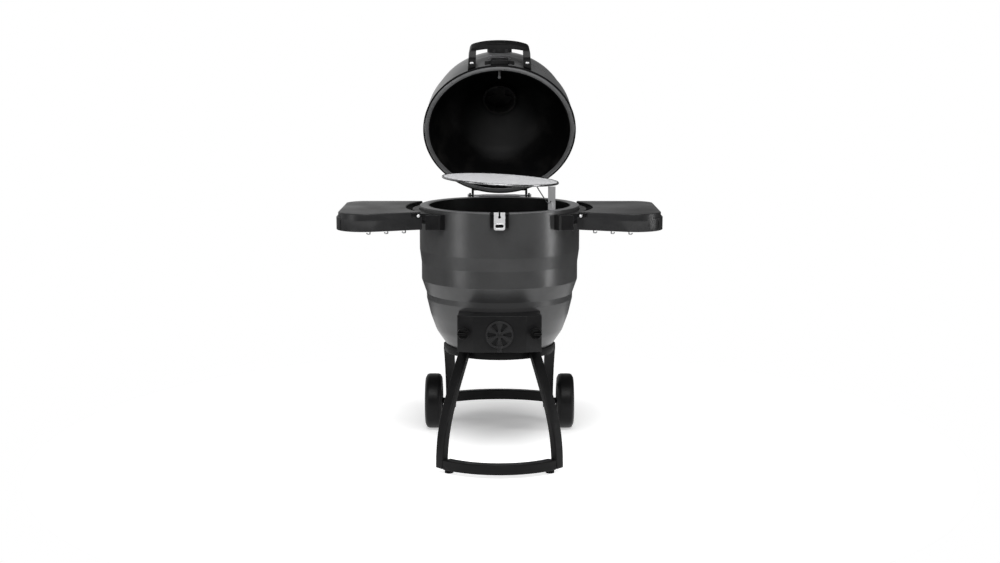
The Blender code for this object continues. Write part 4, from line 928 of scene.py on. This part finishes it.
def make_latch(mats):
    """A channel on the barrel, and the slotted plate that turns on a pin in it."""
    base = prism("latch_channel", rounded([(-0.0315, -0.2925, 0.003), (0.0315, -0.2925, 0.003),
                                           (0.0315, -0.2700), (-0.0315, -0.2700)]), mats["black"],
                 0.8040, 0.8540, bevel=0.0012)
    channel = box("channel", (-0.0280, -0.3000, 0.8000), (0.0280, -0.2800, 0.8600), None)
    cut(base, channel, drum(0.2746))
    screws = [bolt_head("screw", (0, -0.2800, z), (0, -1, 0), 0.0040, None, 0.0014)
              for z in (0.8125, 0.8270)]
    place(join("latch_base_channel", [base] + screws, mats["black"]), "base", "black_paint", "latch_base")
    pin = lathe("latch_pivot", rounded([(0.0, -0.0325), (0.0034, -0.0325, 0.001), (0.0034, -0.0312),
                                        (0.0021, -0.0312), (0.0021, 0.0312), (0.0034, 0.0312),
                                        (0.0034, 0.0325, 0.001), (0.0, 0.0325)]), mats["black"], 24)
    move(pin, Matrix.Translation((0, LATCH_Y, LATCH_Z)) @ Matrix.Rotation(math.pi / 2, 4, "Y"))
    place(pin, "base", "black_paint", "latch_pin")

    half, low, high = 0.0182, 0.7970, 0.8550
    outline = rounded([(-half, high, 0.001), (-half, low, 0.006), (half, low, 0.006), (half, high, 0.001)])
    plate = prism("latch_tongue", outline, mats["sheet"], -0.2935, -0.2912, "Y")
    finger = arc(0.0065, (-0.0075, 0.8105), 270, 90, 14) + arc(0.0065, (0.0075, 0.8105), 90, -90, 14)
    keyhole = prism("keyhole", arc(0.0046, (0, 0.8395), 127, 413, 24) + [(0.0028, 0.87), (-0.0028, 0.87)],
                    None, -0.31, -0.28, "Y")
    cut(plate, prism("finger", finger, None, -0.31, -0.28, "Y"), keyhole)
    bevelled(plate, 0.0006, 2)
    lip = sweep("lip", [Vector((u * 1.04, -0.2937, 0.8105 + (v - 0.8105) * 1.06)) for u, v in finger],
                circle_section(0.0010, 8), None, closed=True)
    ears = [prism("ear", arc(0.0042, (LATCH_Y, LATCH_Z), -90, 90, 10)
                  + [(-0.2925, 0.8542), (-0.2925, 0.8458)], None, x - 0.0012, x + 0.0012, "X")
            for x in (-0.0160, 0.0160)]
    plate = join("latch_tongue_plate", [plate, lip] + ears, mats["sheet"])
    place(plate, "latch", "stainless", "latch_plate")


# ---------------------------------------------------------------- side shelves
def shelf_outline(arc_radius, front, end, back):
    """The shelf seen from above, with its front, end and back moved in by these amounts."""
    y_front, y_back = SHELF_INNER_FRONT + front, SHELF_BACK - back
    corners = [(math.sqrt(arc_radius ** 2 - y_front ** 2), y_front, 0.0),
               (SHELF_END - end, SHELF_FRONT + front, FRONT_CORNER - end),
               (SHELF_END - end, y_back, BACK_CORNER - end),
               (math.sqrt(arc_radius ** 2 - y_back ** 2), y_back, 0.0)]
    start = math.degrees(math.atan2(corners[3][1], corners[3][0]))
    stop = math.degrees(math.atan2(corners[0][1], corners[0][0]))
    return rounded(corners, step=4) + arc(arc_radius, (0, 0), start, stop, 40)[1:-1]


def make_shelf(mats):
    """A skirt with a raised top, open underneath but for its stiffening ribs."""
    skirt = prism("skirt", shelf_outline(SHELF_ARC, 0, 0, 0), None, SHELF_BOTTOM, SHELF_LEDGE,
                  bevel=0.0020)
    raised = prism("raised", shelf_outline(SHELF_ARC + 0.003, 0.0, 0.007, 0.005), None,
                   SHELF_LEDGE - 0.010, SHELF_TOP, bevel=0.0030)
    shelf = weld(skirt, raised)
    under = prism("under", shelf_outline(SHELF_ARC - 0.010, 0.0035, 0.0035, 0.0035), None, 0.7, 0.8252)
    upper = prism("upper", shelf_outline(SHELF_ARC - 0.010, 0.0041, 0.0105, 0.0085), None, 0.8, 0.8415)
    pins = rod("pins", (FOLD_X, -0.3, FOLD_Z), (FOLD_X, 0.3, FOLD_Z), 0.0034, None)
    groove = box("groove", (0.5235, -0.27, 0.7800), (0.5265, -0.10, 0.8240), None)
    cut(groove, prism("core", shelf_outline(SHELF_ARC, 0.0012, 0.0012, 0.0012), None, 0.77, 0.83))
    cut(shelf, under, upper, pins, groove)
    members = [shelf]
    for x in (0.372, 0.452):
        members.append(box("rib", (x, -0.196, 0.8330), (x + 0.0024, 0.1690, 0.8425), None))
    for y in (-0.085, 0.075):
        members.append(box("rib", (0.345, y, 0.8330), (0.5300, y + 0.0024, 0.8425), None))
    members.append(box("tab", (0.5120, -0.1860, SHELF_BOTTOM - 0.0022),
                       (0.5215, -0.1720, SHELF_BOTTOM + 0.0060), None, 0.001))
    return join("shelf_top_right", members, mats["shelf"])


def make_shelf_bracket(mats):
    """The curved black bracket on the barrel, with a cheek at its front end and a lug at each end."""
    inner, outer = 0.2747, 0.2985
    outline = arc(outer, (0, 0), -49, 34.5, 48) + arc(inner, (0, 0), 34.5, -49, 48)
    bracket = prism("bracket", outline, None, 0.7880, 0.8380)
    cut(bracket, box("swing_room", (0.2185, -0.30, 0.7), (0.40, -0.1830, 0.9), None),
        box("under", (0.2185, -0.2, 0.7), (0.40, 0.2, 0.8010), None))
    bevelled(bracket, 0.0020, 3)
    cheek = prism("cheek", rounded([(0.1900, 0.8380, 0.002), (0.1900, 0.7880, 0.010), (0.2445, 0.7880, 0.002),
                                    (0.2445, 0.8380, 0.002)]), None, -0.2175, -0.2115, "Y", 0.0022)
    members = [bracket, cheek]
    for low, high in ((-0.1790, -0.1650), (0.1500, 0.1640)):
        lug = prism("lug", arc(0.0068, (FOLD_X, FOLD_Z), 90, -90, 16) + [(0.2200, 0.8030), (0.2200, 0.8380)],
                    None, low, high, "Y")
        cut(lug, drum(inner))
        members.append(bevelled(lug, 0.0010, 2))
    angle = math.radians(-44.5)
    for height in (0.8005, 0.8255):
        out = Vector((math.cos(angle), math.sin(angle), 0))
        members.append(bolt_head("screw", out * 0.2984 + Vector((0, 0, height)), out, 0.0046, None))
    return join("shelf_mount_right", members, mats["black"])


def make_shelf_pins(mats):
    """The bolts that the shelves fold on."""
    bolt = rounded([(0.0, 0.0), (0.0034, 0.0002, 0.003), (0.0052, 0.0018, 0.001), (0.0052, 0.0035),
                    (0.0030, 0.0035), (0.0030, 0.0300, 0.0006), (0.0, 0.0300)], step=20)
    for word, y, turn in (("front", -0.1985, -90), ("back", 0.1790, 90)):
        pin = lathe("pivot_%s_right" % word, bolt, mats["sheet"], 32)
        move(pin, Matrix.Translation((FOLD_X, y, FOLD_Z)) @ Matrix.Rotation(math.radians(turn), 4, "X"))
        place(mirrored(pin, "pivot_%s_left" % word), "base", "stainless", "shelf_pin_%s_left" % word)
        place(pin, "base", "stainless", "shelf_pin_%s_right" % word)


def make_tool_hooks(mats):
    """Three bent wire hooks on a strip, behind the front wall of each shelf."""
    def wall_y(x):
        """Where the slanted front wall of the shelf is, at this distance from the middle."""
        inner = math.sqrt(SHELF_ARC ** 2 - SHELF_INNER_FRONT ** 2)
        slope = (SHELF_FRONT - SHELF_INNER_FRONT) / (SHELF_END - inner)
        return SHELF_INNER_FRONT + (x - inner) * slope

    first, last = HOOK_X[0] - 0.006, HOOK_X[-1] + 0.004
    members = [prism("strip", [(first, wall_y(first) + 0.0055), (last, wall_y(last) + 0.0055),
                               (last, wall_y(last) + 0.0078), (first, wall_y(first) + 0.0078)],
                     None, 0.8080, 0.8200, bevel=0.0004)]
    for x in HOOK_X:
        y = wall_y(x) + 0.0066
        wire = [(x, y, 0.8180), (x, y, 0.7810), (x + 0.0018, y, 0.7782), (x + 0.0050, y, 0.7770),
                (x + 0.0088, y, 0.7782), (x + 0.0108, y, 0.7815)]
        members.append(sweep("hook", smooth_path(wire, 5), circle_section(HOOK_WIRE, 14), None, (0, 1, 0)))
    return join("hook_wires_right", members, mats["hook"])


def make_shelves(mats):
    make_shelf_pins(mats)
    kinds = ((make_shelf, "shelf_", "shelf_resin", "shelf_"),
             (make_shelf_bracket, "base", "black_paint", "shelf_bracket_"),
             (make_tool_hooks, "shelf_", "stainless", "tool_hooks_"))
    for make, body, slot, node in kinds:
        right = make(mats)
        left = mirrored(right, right.name.replace("right", "left"))
        for word, piece in (("left", left), ("right", right)):
            place(piece, body if body == "base" else body + word, slot, node + word)


# ---------------------------------------------------------------- swing-out rack
def make_rack(mats):
    """The swing-out rack: a socket on the wall, a post with its brace, and the mesh."""
    socket = rod("socket", (POST_X, POST_Y, 0.8120), (POST_X, POST_Y, 0.8450), 0.0105, None, 40)
    cut(socket, rod("bore", (POST_X, POST_Y, 0.80), (POST_X, POST_Y, 0.86), 0.0066, None, 40))
    bevelled(socket, 0.0008, 2)
    out = Vector((POST_X, POST_Y, 0)).normalized()
    arm = sweep("arm", [out * 0.226 + Vector((0, 0, 0.8285)), out * 0.2412 + Vector((0, 0, 0.8285))],
                rounded_section(0.012, 0.026, 0.002), None)
    place(join("rack_socket_tube", [socket, arm], mats["steel"]), "base", "stainless", "rack_socket")

    corners = [(POST_X + dx, POST_Y + dy, 0.0008) for dx, dy in
               ((-0.0124, -0.002), (0.0124, -0.002), (0.0124, 0.002), (-0.0124, 0.002))]
    post = prism("post", rounded(corners, step=30), None, 0.8465, 0.9244)
    spigot = rod("spigot", (POST_X, POST_Y, 0.8290), (POST_X, POST_Y, 0.8700), 0.0060, None, 32)
    brace_path = [(0.1225, POST_Y + 0.0010, 0.9300), (0.1300, POST_Y - 0.0015, 0.9160),
                  (0.1500, POST_Y - 0.0040, 0.8850), (0.1590, POST_Y - 0.0035, 0.8720),
                  (0.1680, POST_Y - 0.0031, 0.8715), (0.1730, POST_Y - 0.0031, 0.8760)]
    brace = sweep("rack_brace", smooth_path(brace_path), circle_section(0.0019, 14), mats["chrome"])
    place(join("rack_upright", [post, spigot], mats["post"]), "rack", "stainless", "rack_post")
    place(brace, "rack", "rack_chrome", "rack_post")

    at = Matrix.Translation(RACK_AT) @ Matrix.Rotation(math.radians(RACK_ROLL), 4, "Y")
    hoop = sweep("rack_hoop", ring_path(RACK_R - 0.0035, 0.0), circle_section(0.0035, 12),
                 mats["hook"], closed=True)
    move(hoop, at)
    place(hoop, "rack", "rack_chrome", "rack_grid")
    members = []
    inside, wire, pitch = RACK_R - 0.0040, 0.0013, 0.0096
    steps = int(inside / pitch)
    section = circle_section(wire, 6)
    for i in range(-steps, steps + 1):
        reach = math.sqrt(inside ** 2 - (i * pitch) ** 2)
        for along in (lambda s: (i * pitch, s, -wire), lambda s: (s, i * pitch, wire)):
            members.append(sweep("wire", [along(-reach), along(reach)], section, None))
    grid = join("rack_mesh", members, mats["chrome"])
    move(grid, at)
    place(grid, "rack", "rack_chrome", "rack_grid")


# ---------------------------------------------------------------- lid, drawn shut
def lid_heights(extra=0.0):
    return [(r + extra, LID_BASE + h + extra * (1 if h > 0.15 else 0), c) for r, h, c in LID_SHELL]


def lid_drum(extra):
    """A solid the size of the lid's outside, used to shape pieces that sit on it."""
    outline = [(0.0, LID_BASE + 0.2450 + extra)] + rounded(lid_heights(extra), closed=False, step=5)
    outline += [(LID_RIM + extra, LID_BASE - 0.05), (0.0, LID_BASE - 0.05)]
    return lathe("drum", outline, None, 144)


def make_lid_shell(mats):
    """The two walls of the lid, and the gasket round its rim."""
    z = LID_BASE
    outer = rounded(lid_heights(), closed=False, step=4)
    rim = rounded([(LID_RIM, z + 0.006), (LID_RIM, z, 0.0022), (0.2475, z, 0.0015), (0.2475, z + 0.003),
                   (LID_RIM - SHEET, z + 0.003)], closed=False, step=20)
    inner = sheet_profile(outer, SHEET)[len(outer):]
    shell = lathe("lid_dome", outer + rim[1:] + inner, mats["lid"], 160)
    place(shell, "lid", "lid_paint", "lid_shell")
    lining = rounded([(r, z + h, c) for r, h, c in LID_LINER], closed=False, step=4)
    liner = lathe("lid_enamel", sheet_profile(lining, SHEET), mats["liner"], 160)
    place(liner, "lid", "inner_enamel", "lid_liner")
    seal = rounded([(LID_RIM + 0.0003, z + 0.0052, 0.0008), (LID_RIM + 0.0003, z - 0.0008, 0.0008),
                    (LID_RIM + 0.0046, z - 0.0008, 0.0014), (LID_RIM + 0.0046, z + 0.0052, 0.0014)],
                   step=30)
    place(lathe("lid_seal", seal, mats["rubber"], 160), "lid", "gasket_rubber", "lid_gasket")


def make_handle(mats):
    """A bowed grip on two legs: its plan view crossed with its side view, edges rounded."""
    outer_end, inner_end = GRIP_OUT - 0.014, GRIP_IN - 0.006
    right = [(0.1085, -0.2300), (0.1050, -0.2850), (0.1005, -0.3060), (0.0955, -0.3145)]
    top, under = [], []
    for i in range(0, 33):
        t = 1 - i / 16
        top.append((0.0870 * t, -outer_end - (GRIP_OUT - outer_end) * (1 - t * t)))
        under.append((-0.0790 * t, -inner_end - (GRIP_IN - inner_end) * (1 - t * t)))
    left = [(-x, y) for x, y in right[::-1]]
    plan = right + top + left + [(-0.0825, -0.2300)] + under + [(0.0825, -0.2300)]
    z = LID_BASE
    grip = prism("handle_grip", plan, mats["plastic"], z, z + 0.080)
    side = rounded([(-0.2200, z + 0.010), (-0.2880, z + 0.010, 0.02), (-0.3100, z + 0.030, 0.02),
                    (-0.3300, z + 0.033, 0.01), (-0.3400, z + 0.040, 0.008), (-0.3400, z + 0.053, 0.008),
                    (-0.3280, z + 0.060, 0.010), (-0.3080, z + 0.060, 0.02), (-0.2900, z + 0.052, 0.02),
                    (-0.2200, z + 0.050)], step=10)
    combine(grip, [prism("side", side, None, -0.2, 0.2, "X")], "INTERSECT")
    cut(grip, lid_drum(0.0001))
    bevelled(grip, 0.0028, 4, 30)
    place(grip, "lid", "black_plastic", "handle")
    for word, sign in (("left", -1), ("right", 1)):
        x, y = sign * LEG_X, -0.2735
        head = box("grip_nut_" + word, (x - 0.0062, y - 0.0027, z + 0.0055),
                   (x + 0.0062, y + 0.0027, z + 0.0099), mats["sheet"], 0.0009)
        place(head, "lid", "stainless", "handle_screw_" + word)


def lid_sector(name, low, high, thick, half_angle, mat, gap=0.0002):
    """A curved plate lying on the front of the lid's side wall."""
    wall = [(r, h) for r, h in rounded([(r, h, c) for r, h, c in LID_SHELL], closed=False, step=4)]
    wall.sort(key=lambda p: p[1])

    def radius_at(height):
        for (r0, h0), (r1, h1) in zip(wall, wall[1:]):
            if h0 <= height <= h1 and h1 > h0:
                return r0 + (r1 - r0) * (height - h0) / (h1 - h0)
        return wall[0][0]

    heights = [high - (high - low) * k / 12 for k in range(13)]
    profile = [(radius_at(h) + gap + thick, LID_BASE + h) for h in heights]
    profile += [(radius_at(h) + gap, LID_BASE + h) for h in heights[::-1]]
    bm = bmesh.new()
    rings = []
    steps = 24
    for i in range(steps + 1):
        turn = math.radians(-90 - half_angle + 2 * half_angle * i / steps)
        rings.append([bm.verts.new((r * math.cos(turn), r * math.sin(turn), height))
                      for r, height in profile])
    for a, b in zip(rings, rings[1:]):
        for k in range(len(profile)):
            m = (k + 1) % len(profile)
            bm.faces.new((a[k], b[k], b[m], a[m]))
    bm.faces.new(rings[0])
    bm.faces.new(rings[-1][::-1])
    return mesh_object(name, bm, mat)


def make_lid_front(mats):
    """The plate and keeper that the latch hooks onto, and the blank badge above them."""
    z = LID_BASE
    plate = bevelled(lid_sector("plate", 0.0200, 0.0400, 0.0040, 11.0, None), 0.0012, 3)
    block = prism("block", rounded([(-0.0300, -0.2840, 0.004), (0.0300, -0.2840, 0.004), (0.0300, -0.2600),
                                    (-0.0300, -0.2600)]), None, z + 0.0065, z + 0.0250, bevel=0.0016)
    cut(block, lid_drum(0.0))
    tooth = box("tooth", (-0.0100, -0.2862, z + 0.0085), (0.0100, -0.2830, z + 0.0150), None, 0.0008)
    screws = [bolt_head("screw", (0.2668 * math.sin(a), -0.2668 * math.cos(a), z + 0.0300),
                        (math.sin(a), -math.cos(a), 0), 0.0034, None, 0.0016)
              for a in (math.radians(-7.5), math.radians(7.5))]
    place(join("latch_keeper_block", [plate, block, tooth] + screws, mats["black"]), "lid", "black_paint",
          "latch_keeper")
    base = bevelled(lid_sector("badge", 0.0640, 0.0900, 0.0022, 9.0, None), 0.0008, 3)
    border = []
    for low, high, half in ((0.0650, 0.0664, 8.6), (0.0876, 0.0890, 8.6)):
        border.append(lid_sector("border", low, high, 0.0030, half, None))
    place(join("badge_blank", [base] + border, mats["badge"]), "lid", "badge_metal", "badge_plate")


def make_thermometer(mats):
    """Drawn facing up at the origin, then laid on the lid's front."""
    stand = (Matrix.Translation((0, GAUGE_Y, LID_BASE + GAUGE_UP))
             @ Matrix.Rotation(math.radians(90 - GAUGE_TILT), 4, "X"))
    case = lathe("gauge_case", rounded([
        (0.0070, -0.0150), (GAUGE_R - 0.003, -0.0150, 0.001), (GAUGE_R, -0.0120, 0.002),
        (GAUGE_R, 0.0130, 0.0015), (GAUGE_R - 0.0020, 0.0160, 0.0012), (0.0385, 0.0160, 0.001),
        (0.0375, 0.0090), (0.0070, 0.0090)], step=20), mats["black"], 96)
    move(case, stand)
    cut(case, lid_drum(0.0001))
    place(case, "lid", "black_paint", "thermometer_case")
    dial = lathe("gauge_dial", rounded([(0.0015, 0.0093), (0.0372, 0.0093), (0.0372, 0.0103, 0.0003),
                                        (0.0015, 0.0103)], step=30), mats["dial"], 64)
    place(move(dial, stand), "lid", "dial_card", "thermometer_dial")
    make_dial_marks(mats, stand)
    needle = prism("pointer", [(-0.0014, -0.0080), (0.0014, -0.0080), (0.0003, 0.0290), (-0.0003, 0.0290)],
                   None, 0.0113, 0.0118)
    boss = lathe("boss", rounded([(0.0, 0.0106), (0.0035, 0.0106), (0.0035, 0.0122, 0.0008), (0.0, 0.0124)],
                                 step=20), None, 32)
    needle = join("gauge_pointer", [needle, boss], mats["needle"])
    place(move(needle, stand), "needle", "needle_red", "thermometer_needle")
    lens = lathe("gauge_lens", rounded([(0.0, 0.0128), (0.0378, 0.0128), (0.0378, 0.0142, 0.0004),
                                        (0.0180, 0.0148, 0.1), (0.0, 0.0150)], step=4), mats["glass"], 64)
    place(move(lens, stand), "lid", "lens_glass", "thermometer_lens")
    stem = lathe("gauge_stem", rounded([(0.0, -0.0960), (0.0030, -0.0960, 0.002), (0.0052, -0.0925, 0.003),
                                        (0.0052, 0.0086), (0.0, 0.0086)], step=15), mats["steel"], 32)
    place(move(stem, stand), "lid", "stainless", "thermometer_stem")


def make_dial_marks(mats, stand):
    """Tick marks and plain round numbers on the gauge's card."""
    marks = []
    for i in range(41):
        angle = math.radians(225 - 270 * i / 40)
        long = 0.0048 if i % 5 == 0 else 0.0026
        wide = 0.00040 if i % 5 == 0 else 0.00022
        tick = box("tick", (0.0350 - long, -wide, 0.01032), (0.0350, wide, 0.01046), None)
        marks.append(move(tick, Matrix.Rotation(angle, 4, "Z")))
    for i in range(9):
        angle = math.radians(225 - 270 * i / 8)
        text = bpy.data.curves.new("number", "FONT")
        text.body = str(50 * i)
        text.size = 0.0062
        text.align_x, text.align_y = "CENTER", "CENTER"
        text.extrude = 0.00006
        source = bpy.data.objects.new("number", text)
        bpy.context.collection.objects.link(source)
        graph = bpy.context.evaluated_depsgraph_get()
        mesh = bpy.data.meshes.new_from_object(source.evaluated_get(graph))
        bpy.data.objects.remove(source, do_unlink=True)
        bpy.data.curves.remove(text)
        number = bpy.data.objects.new("number", mesh)
        bpy.context.collection.objects.link(number)
        spot = (0.0255 * math.cos(angle), 0.0255 * math.sin(angle), 0.01040)
        marks.append(move(number, Matrix.Translation(spot)))
    marks = join("gauge_marks", marks, mats["ink"])
    place(move(marks, stand), "lid", "dial_card")


def vent_tools(turned, low=0.24, high=0.30):
    """Four openings.  The cap's are an eighth of a turn from the fixed plate's, which shuts them."""
    tools = []
    for i in range(4):
        middle = 90 * i + turned
        outline = arc(0.0480, (0, 0), middle - 21, middle + 21, 14)
        outline += arc(0.0220, (0, 0), middle + 21, middle - 21, 8)
        tools.append(prism("vent", outline, None, LID_BASE + low, LID_BASE + high))
    return tools


def make_top_damper(mats):
    """The draft outlet on top: a collar in the lid and a turning cap."""
    z = LID_BASE
    collar = lathe("collar", rounded([
        (VENT_R, z + 0.2010, 0.001), (0.0600, z + 0.2010, 0.001), (0.0600, z + 0.2445, 0.003),
        (0.0740, z + 0.2445, 0.001), (0.0740, z + 0.2500, 0.002), (0.0660, z + 0.2540, 0.002),
        (VENT_R, z + 0.2540)], step=15), None, 96)
    plate = lathe("plate", [(0.0, z + 0.2535), (VENT_R + 0.001, z + 0.2535), (VENT_R + 0.001, z + 0.2490),
                            (0.0, z + 0.2490)], None, 96)
    cut(plate, *vent_tools(0))
    place(join("damper_base", [collar, plate], mats["cast"]), "lid", "cast_iron", "damper_collar")
    cap = lathe("damper_top", rounded([
        (0.0, z + 0.2546), (0.0640, z + 0.2546, 0.001), (0.0640, z + 0.2590, 0.003),
        (0.0560, z + 0.2650, 0.010), (0.0180, z + 0.2720, 0.006), (0.0160, z + 0.2800, 0.003),
        (0.0, z + 0.2820)], step=10), None, 96)
    cut(cap, *vent_tools(45))
    tab = box("tab", (0.0560, -0.0060, z + 0.2555), (0.0760, 0.0060, z + 0.2610), None, 0.0016)
    place(join("damper_turn_cap", [cap, tab], mats["cast"]), "damper_cap", "cast_iron", "damper_cap")


def make_hinge(mats):
    """The strap on the barrel, the strap on the lid and the bar through both."""
    axis = (HINGE_Y, HINGE_Z)
    strap = box("strap", (-0.1100, 0.2700, 0.8050), (0.1100, 0.2790, 0.8400), None)
    cut(strap, drum(0.2746))
    bevelled(strap, 0.0010, 2)
    members = [strap]
    for sign in (-1, 1):
        low, high = sorted((sign * 0.1030, sign * 0.1100))
        ear = prism("ear", arc(0.0095, axis, 0, 180, 20) + [(0.2685, 0.8400), (0.2690, 0.8060),
                                                            (0.2875, 0.8060)], None, low, high, "X")
        members.append(bevelled(ear, 0.0012, 3))
        members.append(bolt_head("screw", (sign * 0.080, 0.2790, 0.8225), (0, 1, 0), 0.0055, None))
    place(join("hinge_strap_body", members, mats["black"]), "base", "black_paint", "hinge_bracket_body")

    rod_profile = rounded([
        (0.0, -0.1150), (0.0060, -0.1150, 0.002), (0.0060, -0.1115), (0.0034, -0.1115),
        (0.0034, -0.0760, 0.01), (0.0048, -0.0560, 0.02), (0.0048, 0.0560, 0.02), (0.0034, 0.0760, 0.01),
        (0.0034, 0.1115), (0.0060, 0.1115), (0.0060, 0.1150, 0.002), (0.0, 0.1150)], step=10)
    pin = lathe("hinge_bar", rod_profile, mats["hinge"], 40)
    move(pin, Matrix.Translation((0, *axis)) @ Matrix.Rotation(math.pi / 2, 4, "Y"))
    place(pin, "base", "stainless", "hinge_rod")

    z = LID_BASE
    strap = box("strap", (-0.1010, 0.2560, z + 0.0150), (0.1010, 0.2670, z + 0.0480), None)
    cut(strap, lid_drum(0.0))
    bevelled(strap, 0.0010, 2)
    members = [strap]
    for sign in (-1, 1):
        low, high = sorted((sign * 0.0930, sign * 0.1010))
        ear = prism("ear", arc(0.0088, axis, -180, 0, 20) + [(0.2868, z + 0.0300), (0.2660, z + 0.0480),
                                                             (0.2640, z + 0.0150)], None, low, high, "X")
        members.append(bevelled(ear, 0.0012, 3))
    place(join("hinge_strap_lid", members, mats["black"]), "lid", "black_paint", "hinge_bracket_lid")


# ---------------------------------------------------------------- studio
def make_world():
    """White to the camera.  For lighting, dim all round but for a glow behind on the left."""
    world = bpy.data.worlds.new("studio")
    bpy.context.scene.world = world
    world.use_nodes = True
    tree = world.node_tree
    tree.nodes.clear()
    where = tree.nodes.new("ShaderNodeTexCoord").outputs["Generated"]

    def ramp(value, low, high, to_low, to_high):
        node = tree.nodes.new("ShaderNodeMapRange")
        node.interpolation_type = "SMOOTHSTEP"
        for key, number in (("From Min", low), ("From Max", high), ("To Min", to_low),
                            ("To Max", to_high)):
            node.inputs[key].default_value = number
        tree.links.new(value, node.inputs["Value"])
        return node.outputs["Result"]

    def background(strength):
        node = tree.nodes.new("ShaderNodeBackground")
        node.inputs["Color"].default_value = (1.0, 1.0, 1.0, 1.0)
        node.inputs["Strength"].default_value = strength
        return node

    split = tree.nodes.new("ShaderNodeSeparateXYZ")
    tree.links.new(where, split.inputs["Vector"])
    towards = tree.nodes.new("ShaderNodeVectorMath")
    towards.operation = "DOT_PRODUCT"
    towards.inputs[1].default_value = (-0.6, 0.8, 0.0)
    tree.links.new(where, towards.inputs[0])
    glow = tree.nodes.new("ShaderNodeMath")
    glow.operation = "MULTIPLY"
    tree.links.new(ramp(towards.outputs["Value"], 0.45, 1.0, 0.0, GLOW), glow.inputs[0])
    tree.links.new(ramp(split.outputs["Z"], -0.20, 0.08, 0.0, 1.0), glow.inputs[1])
    lighting = background(0.0)
    sum_up = tree.nodes.new("ShaderNodeMath")
    sum_up.operation = "ADD"
    sum_up.inputs[1].default_value = DIM
    tree.links.new(glow.outputs["Value"], sum_up.inputs[0])
    tree.links.new(sum_up.outputs["Value"], lighting.inputs["Strength"])
    seen = background(1.0)
    path = tree.nodes.new("ShaderNodeLightPath")
    mix = tree.nodes.new("ShaderNodeMixShader")
    out = tree.nodes.new("ShaderNodeOutputWorld")
    tree.links.new(path.outputs["Is Camera Ray"], mix.inputs["Fac"])
    tree.links.new(lighting.outputs["Background"], mix.inputs[1])
    tree.links.new(seen.outputs["Background"], mix.inputs[2])
    tree.links.new(mix.outputs["Shader"], out.inputs["Surface"])


def softbox(name, azimuth, distance, height, wide, tall, watts, look_at=(0, 0, 0.75)):
    """An area light at an azimuth from the front (-Y), positive towards +X."""
    light = bpy.data.lights.new(name, "AREA")
    light.shape = "RECTANGLE"
    light.size, light.size_y = wide, tall
    light.energy = watts
    obj = bpy.data.objects.new(name, light)
    bpy.context.collection.objects.link(obj)
    a = math.radians(azimuth)
    obj.location = (distance * math.sin(a), -distance * math.cos(a), height)
    aim = Vector(look_at) - obj.location
    obj.rotation_euler = aim.to_track_quat("-Z", "Y").to_euler()
    return obj


def make_studio():
    """Soft light from above and both sides, over a pale floor."""
    make_world()
    softbox("overhead", 0, 2.4, 3.3, 2.4, 2.4, 135, (0, 0.3, 0.3))
    softbox("left_box", -57, 2.6, 1.10, 0.70, 2.2, 18)
    softbox("right_box", 74, 2.4, 1.05, 0.34, 2.2, 24)
    bm = bmesh.new()
    bmesh.ops.create_circle(bm, cap_ends=True, segments=96, radius=FLOOR_R)
    floor = mesh_object("floor", bm, pale_floor(), 0)


def make_camera():
    """Straight from the front, a little above the shelves."""
    data = bpy.data.cameras.new("camera")
    data.lens, data.sensor_width = LENS, SENSOR
    data.shift_x = SHIFT
    camera = bpy.data.objects.new("camera", data)
    bpy.context.collection.objects.link(camera)
    camera.location = CAMERA_AT
    camera.rotation_euler = (math.radians(90 - CAMERA_DOWN), 0, 0)
    bpy.context.scene.camera = camera


def build():
    mats = make_materials()
    for make in (make_barrel, make_grates, make_front_frame, make_rear_frame, make_wheels, make_ash_box,
                 make_draft_wheel, make_drawer_knobs, make_latch, make_shelves, make_rack,
                 make_lid_shell, make_handle, make_lid_front, make_thermometer, make_top_damper,
                 make_hinge):
        make(mats)
    make_studio()
    make_camera()
    bpy.context.scene.view_settings.view_transform = "Standard"


build()
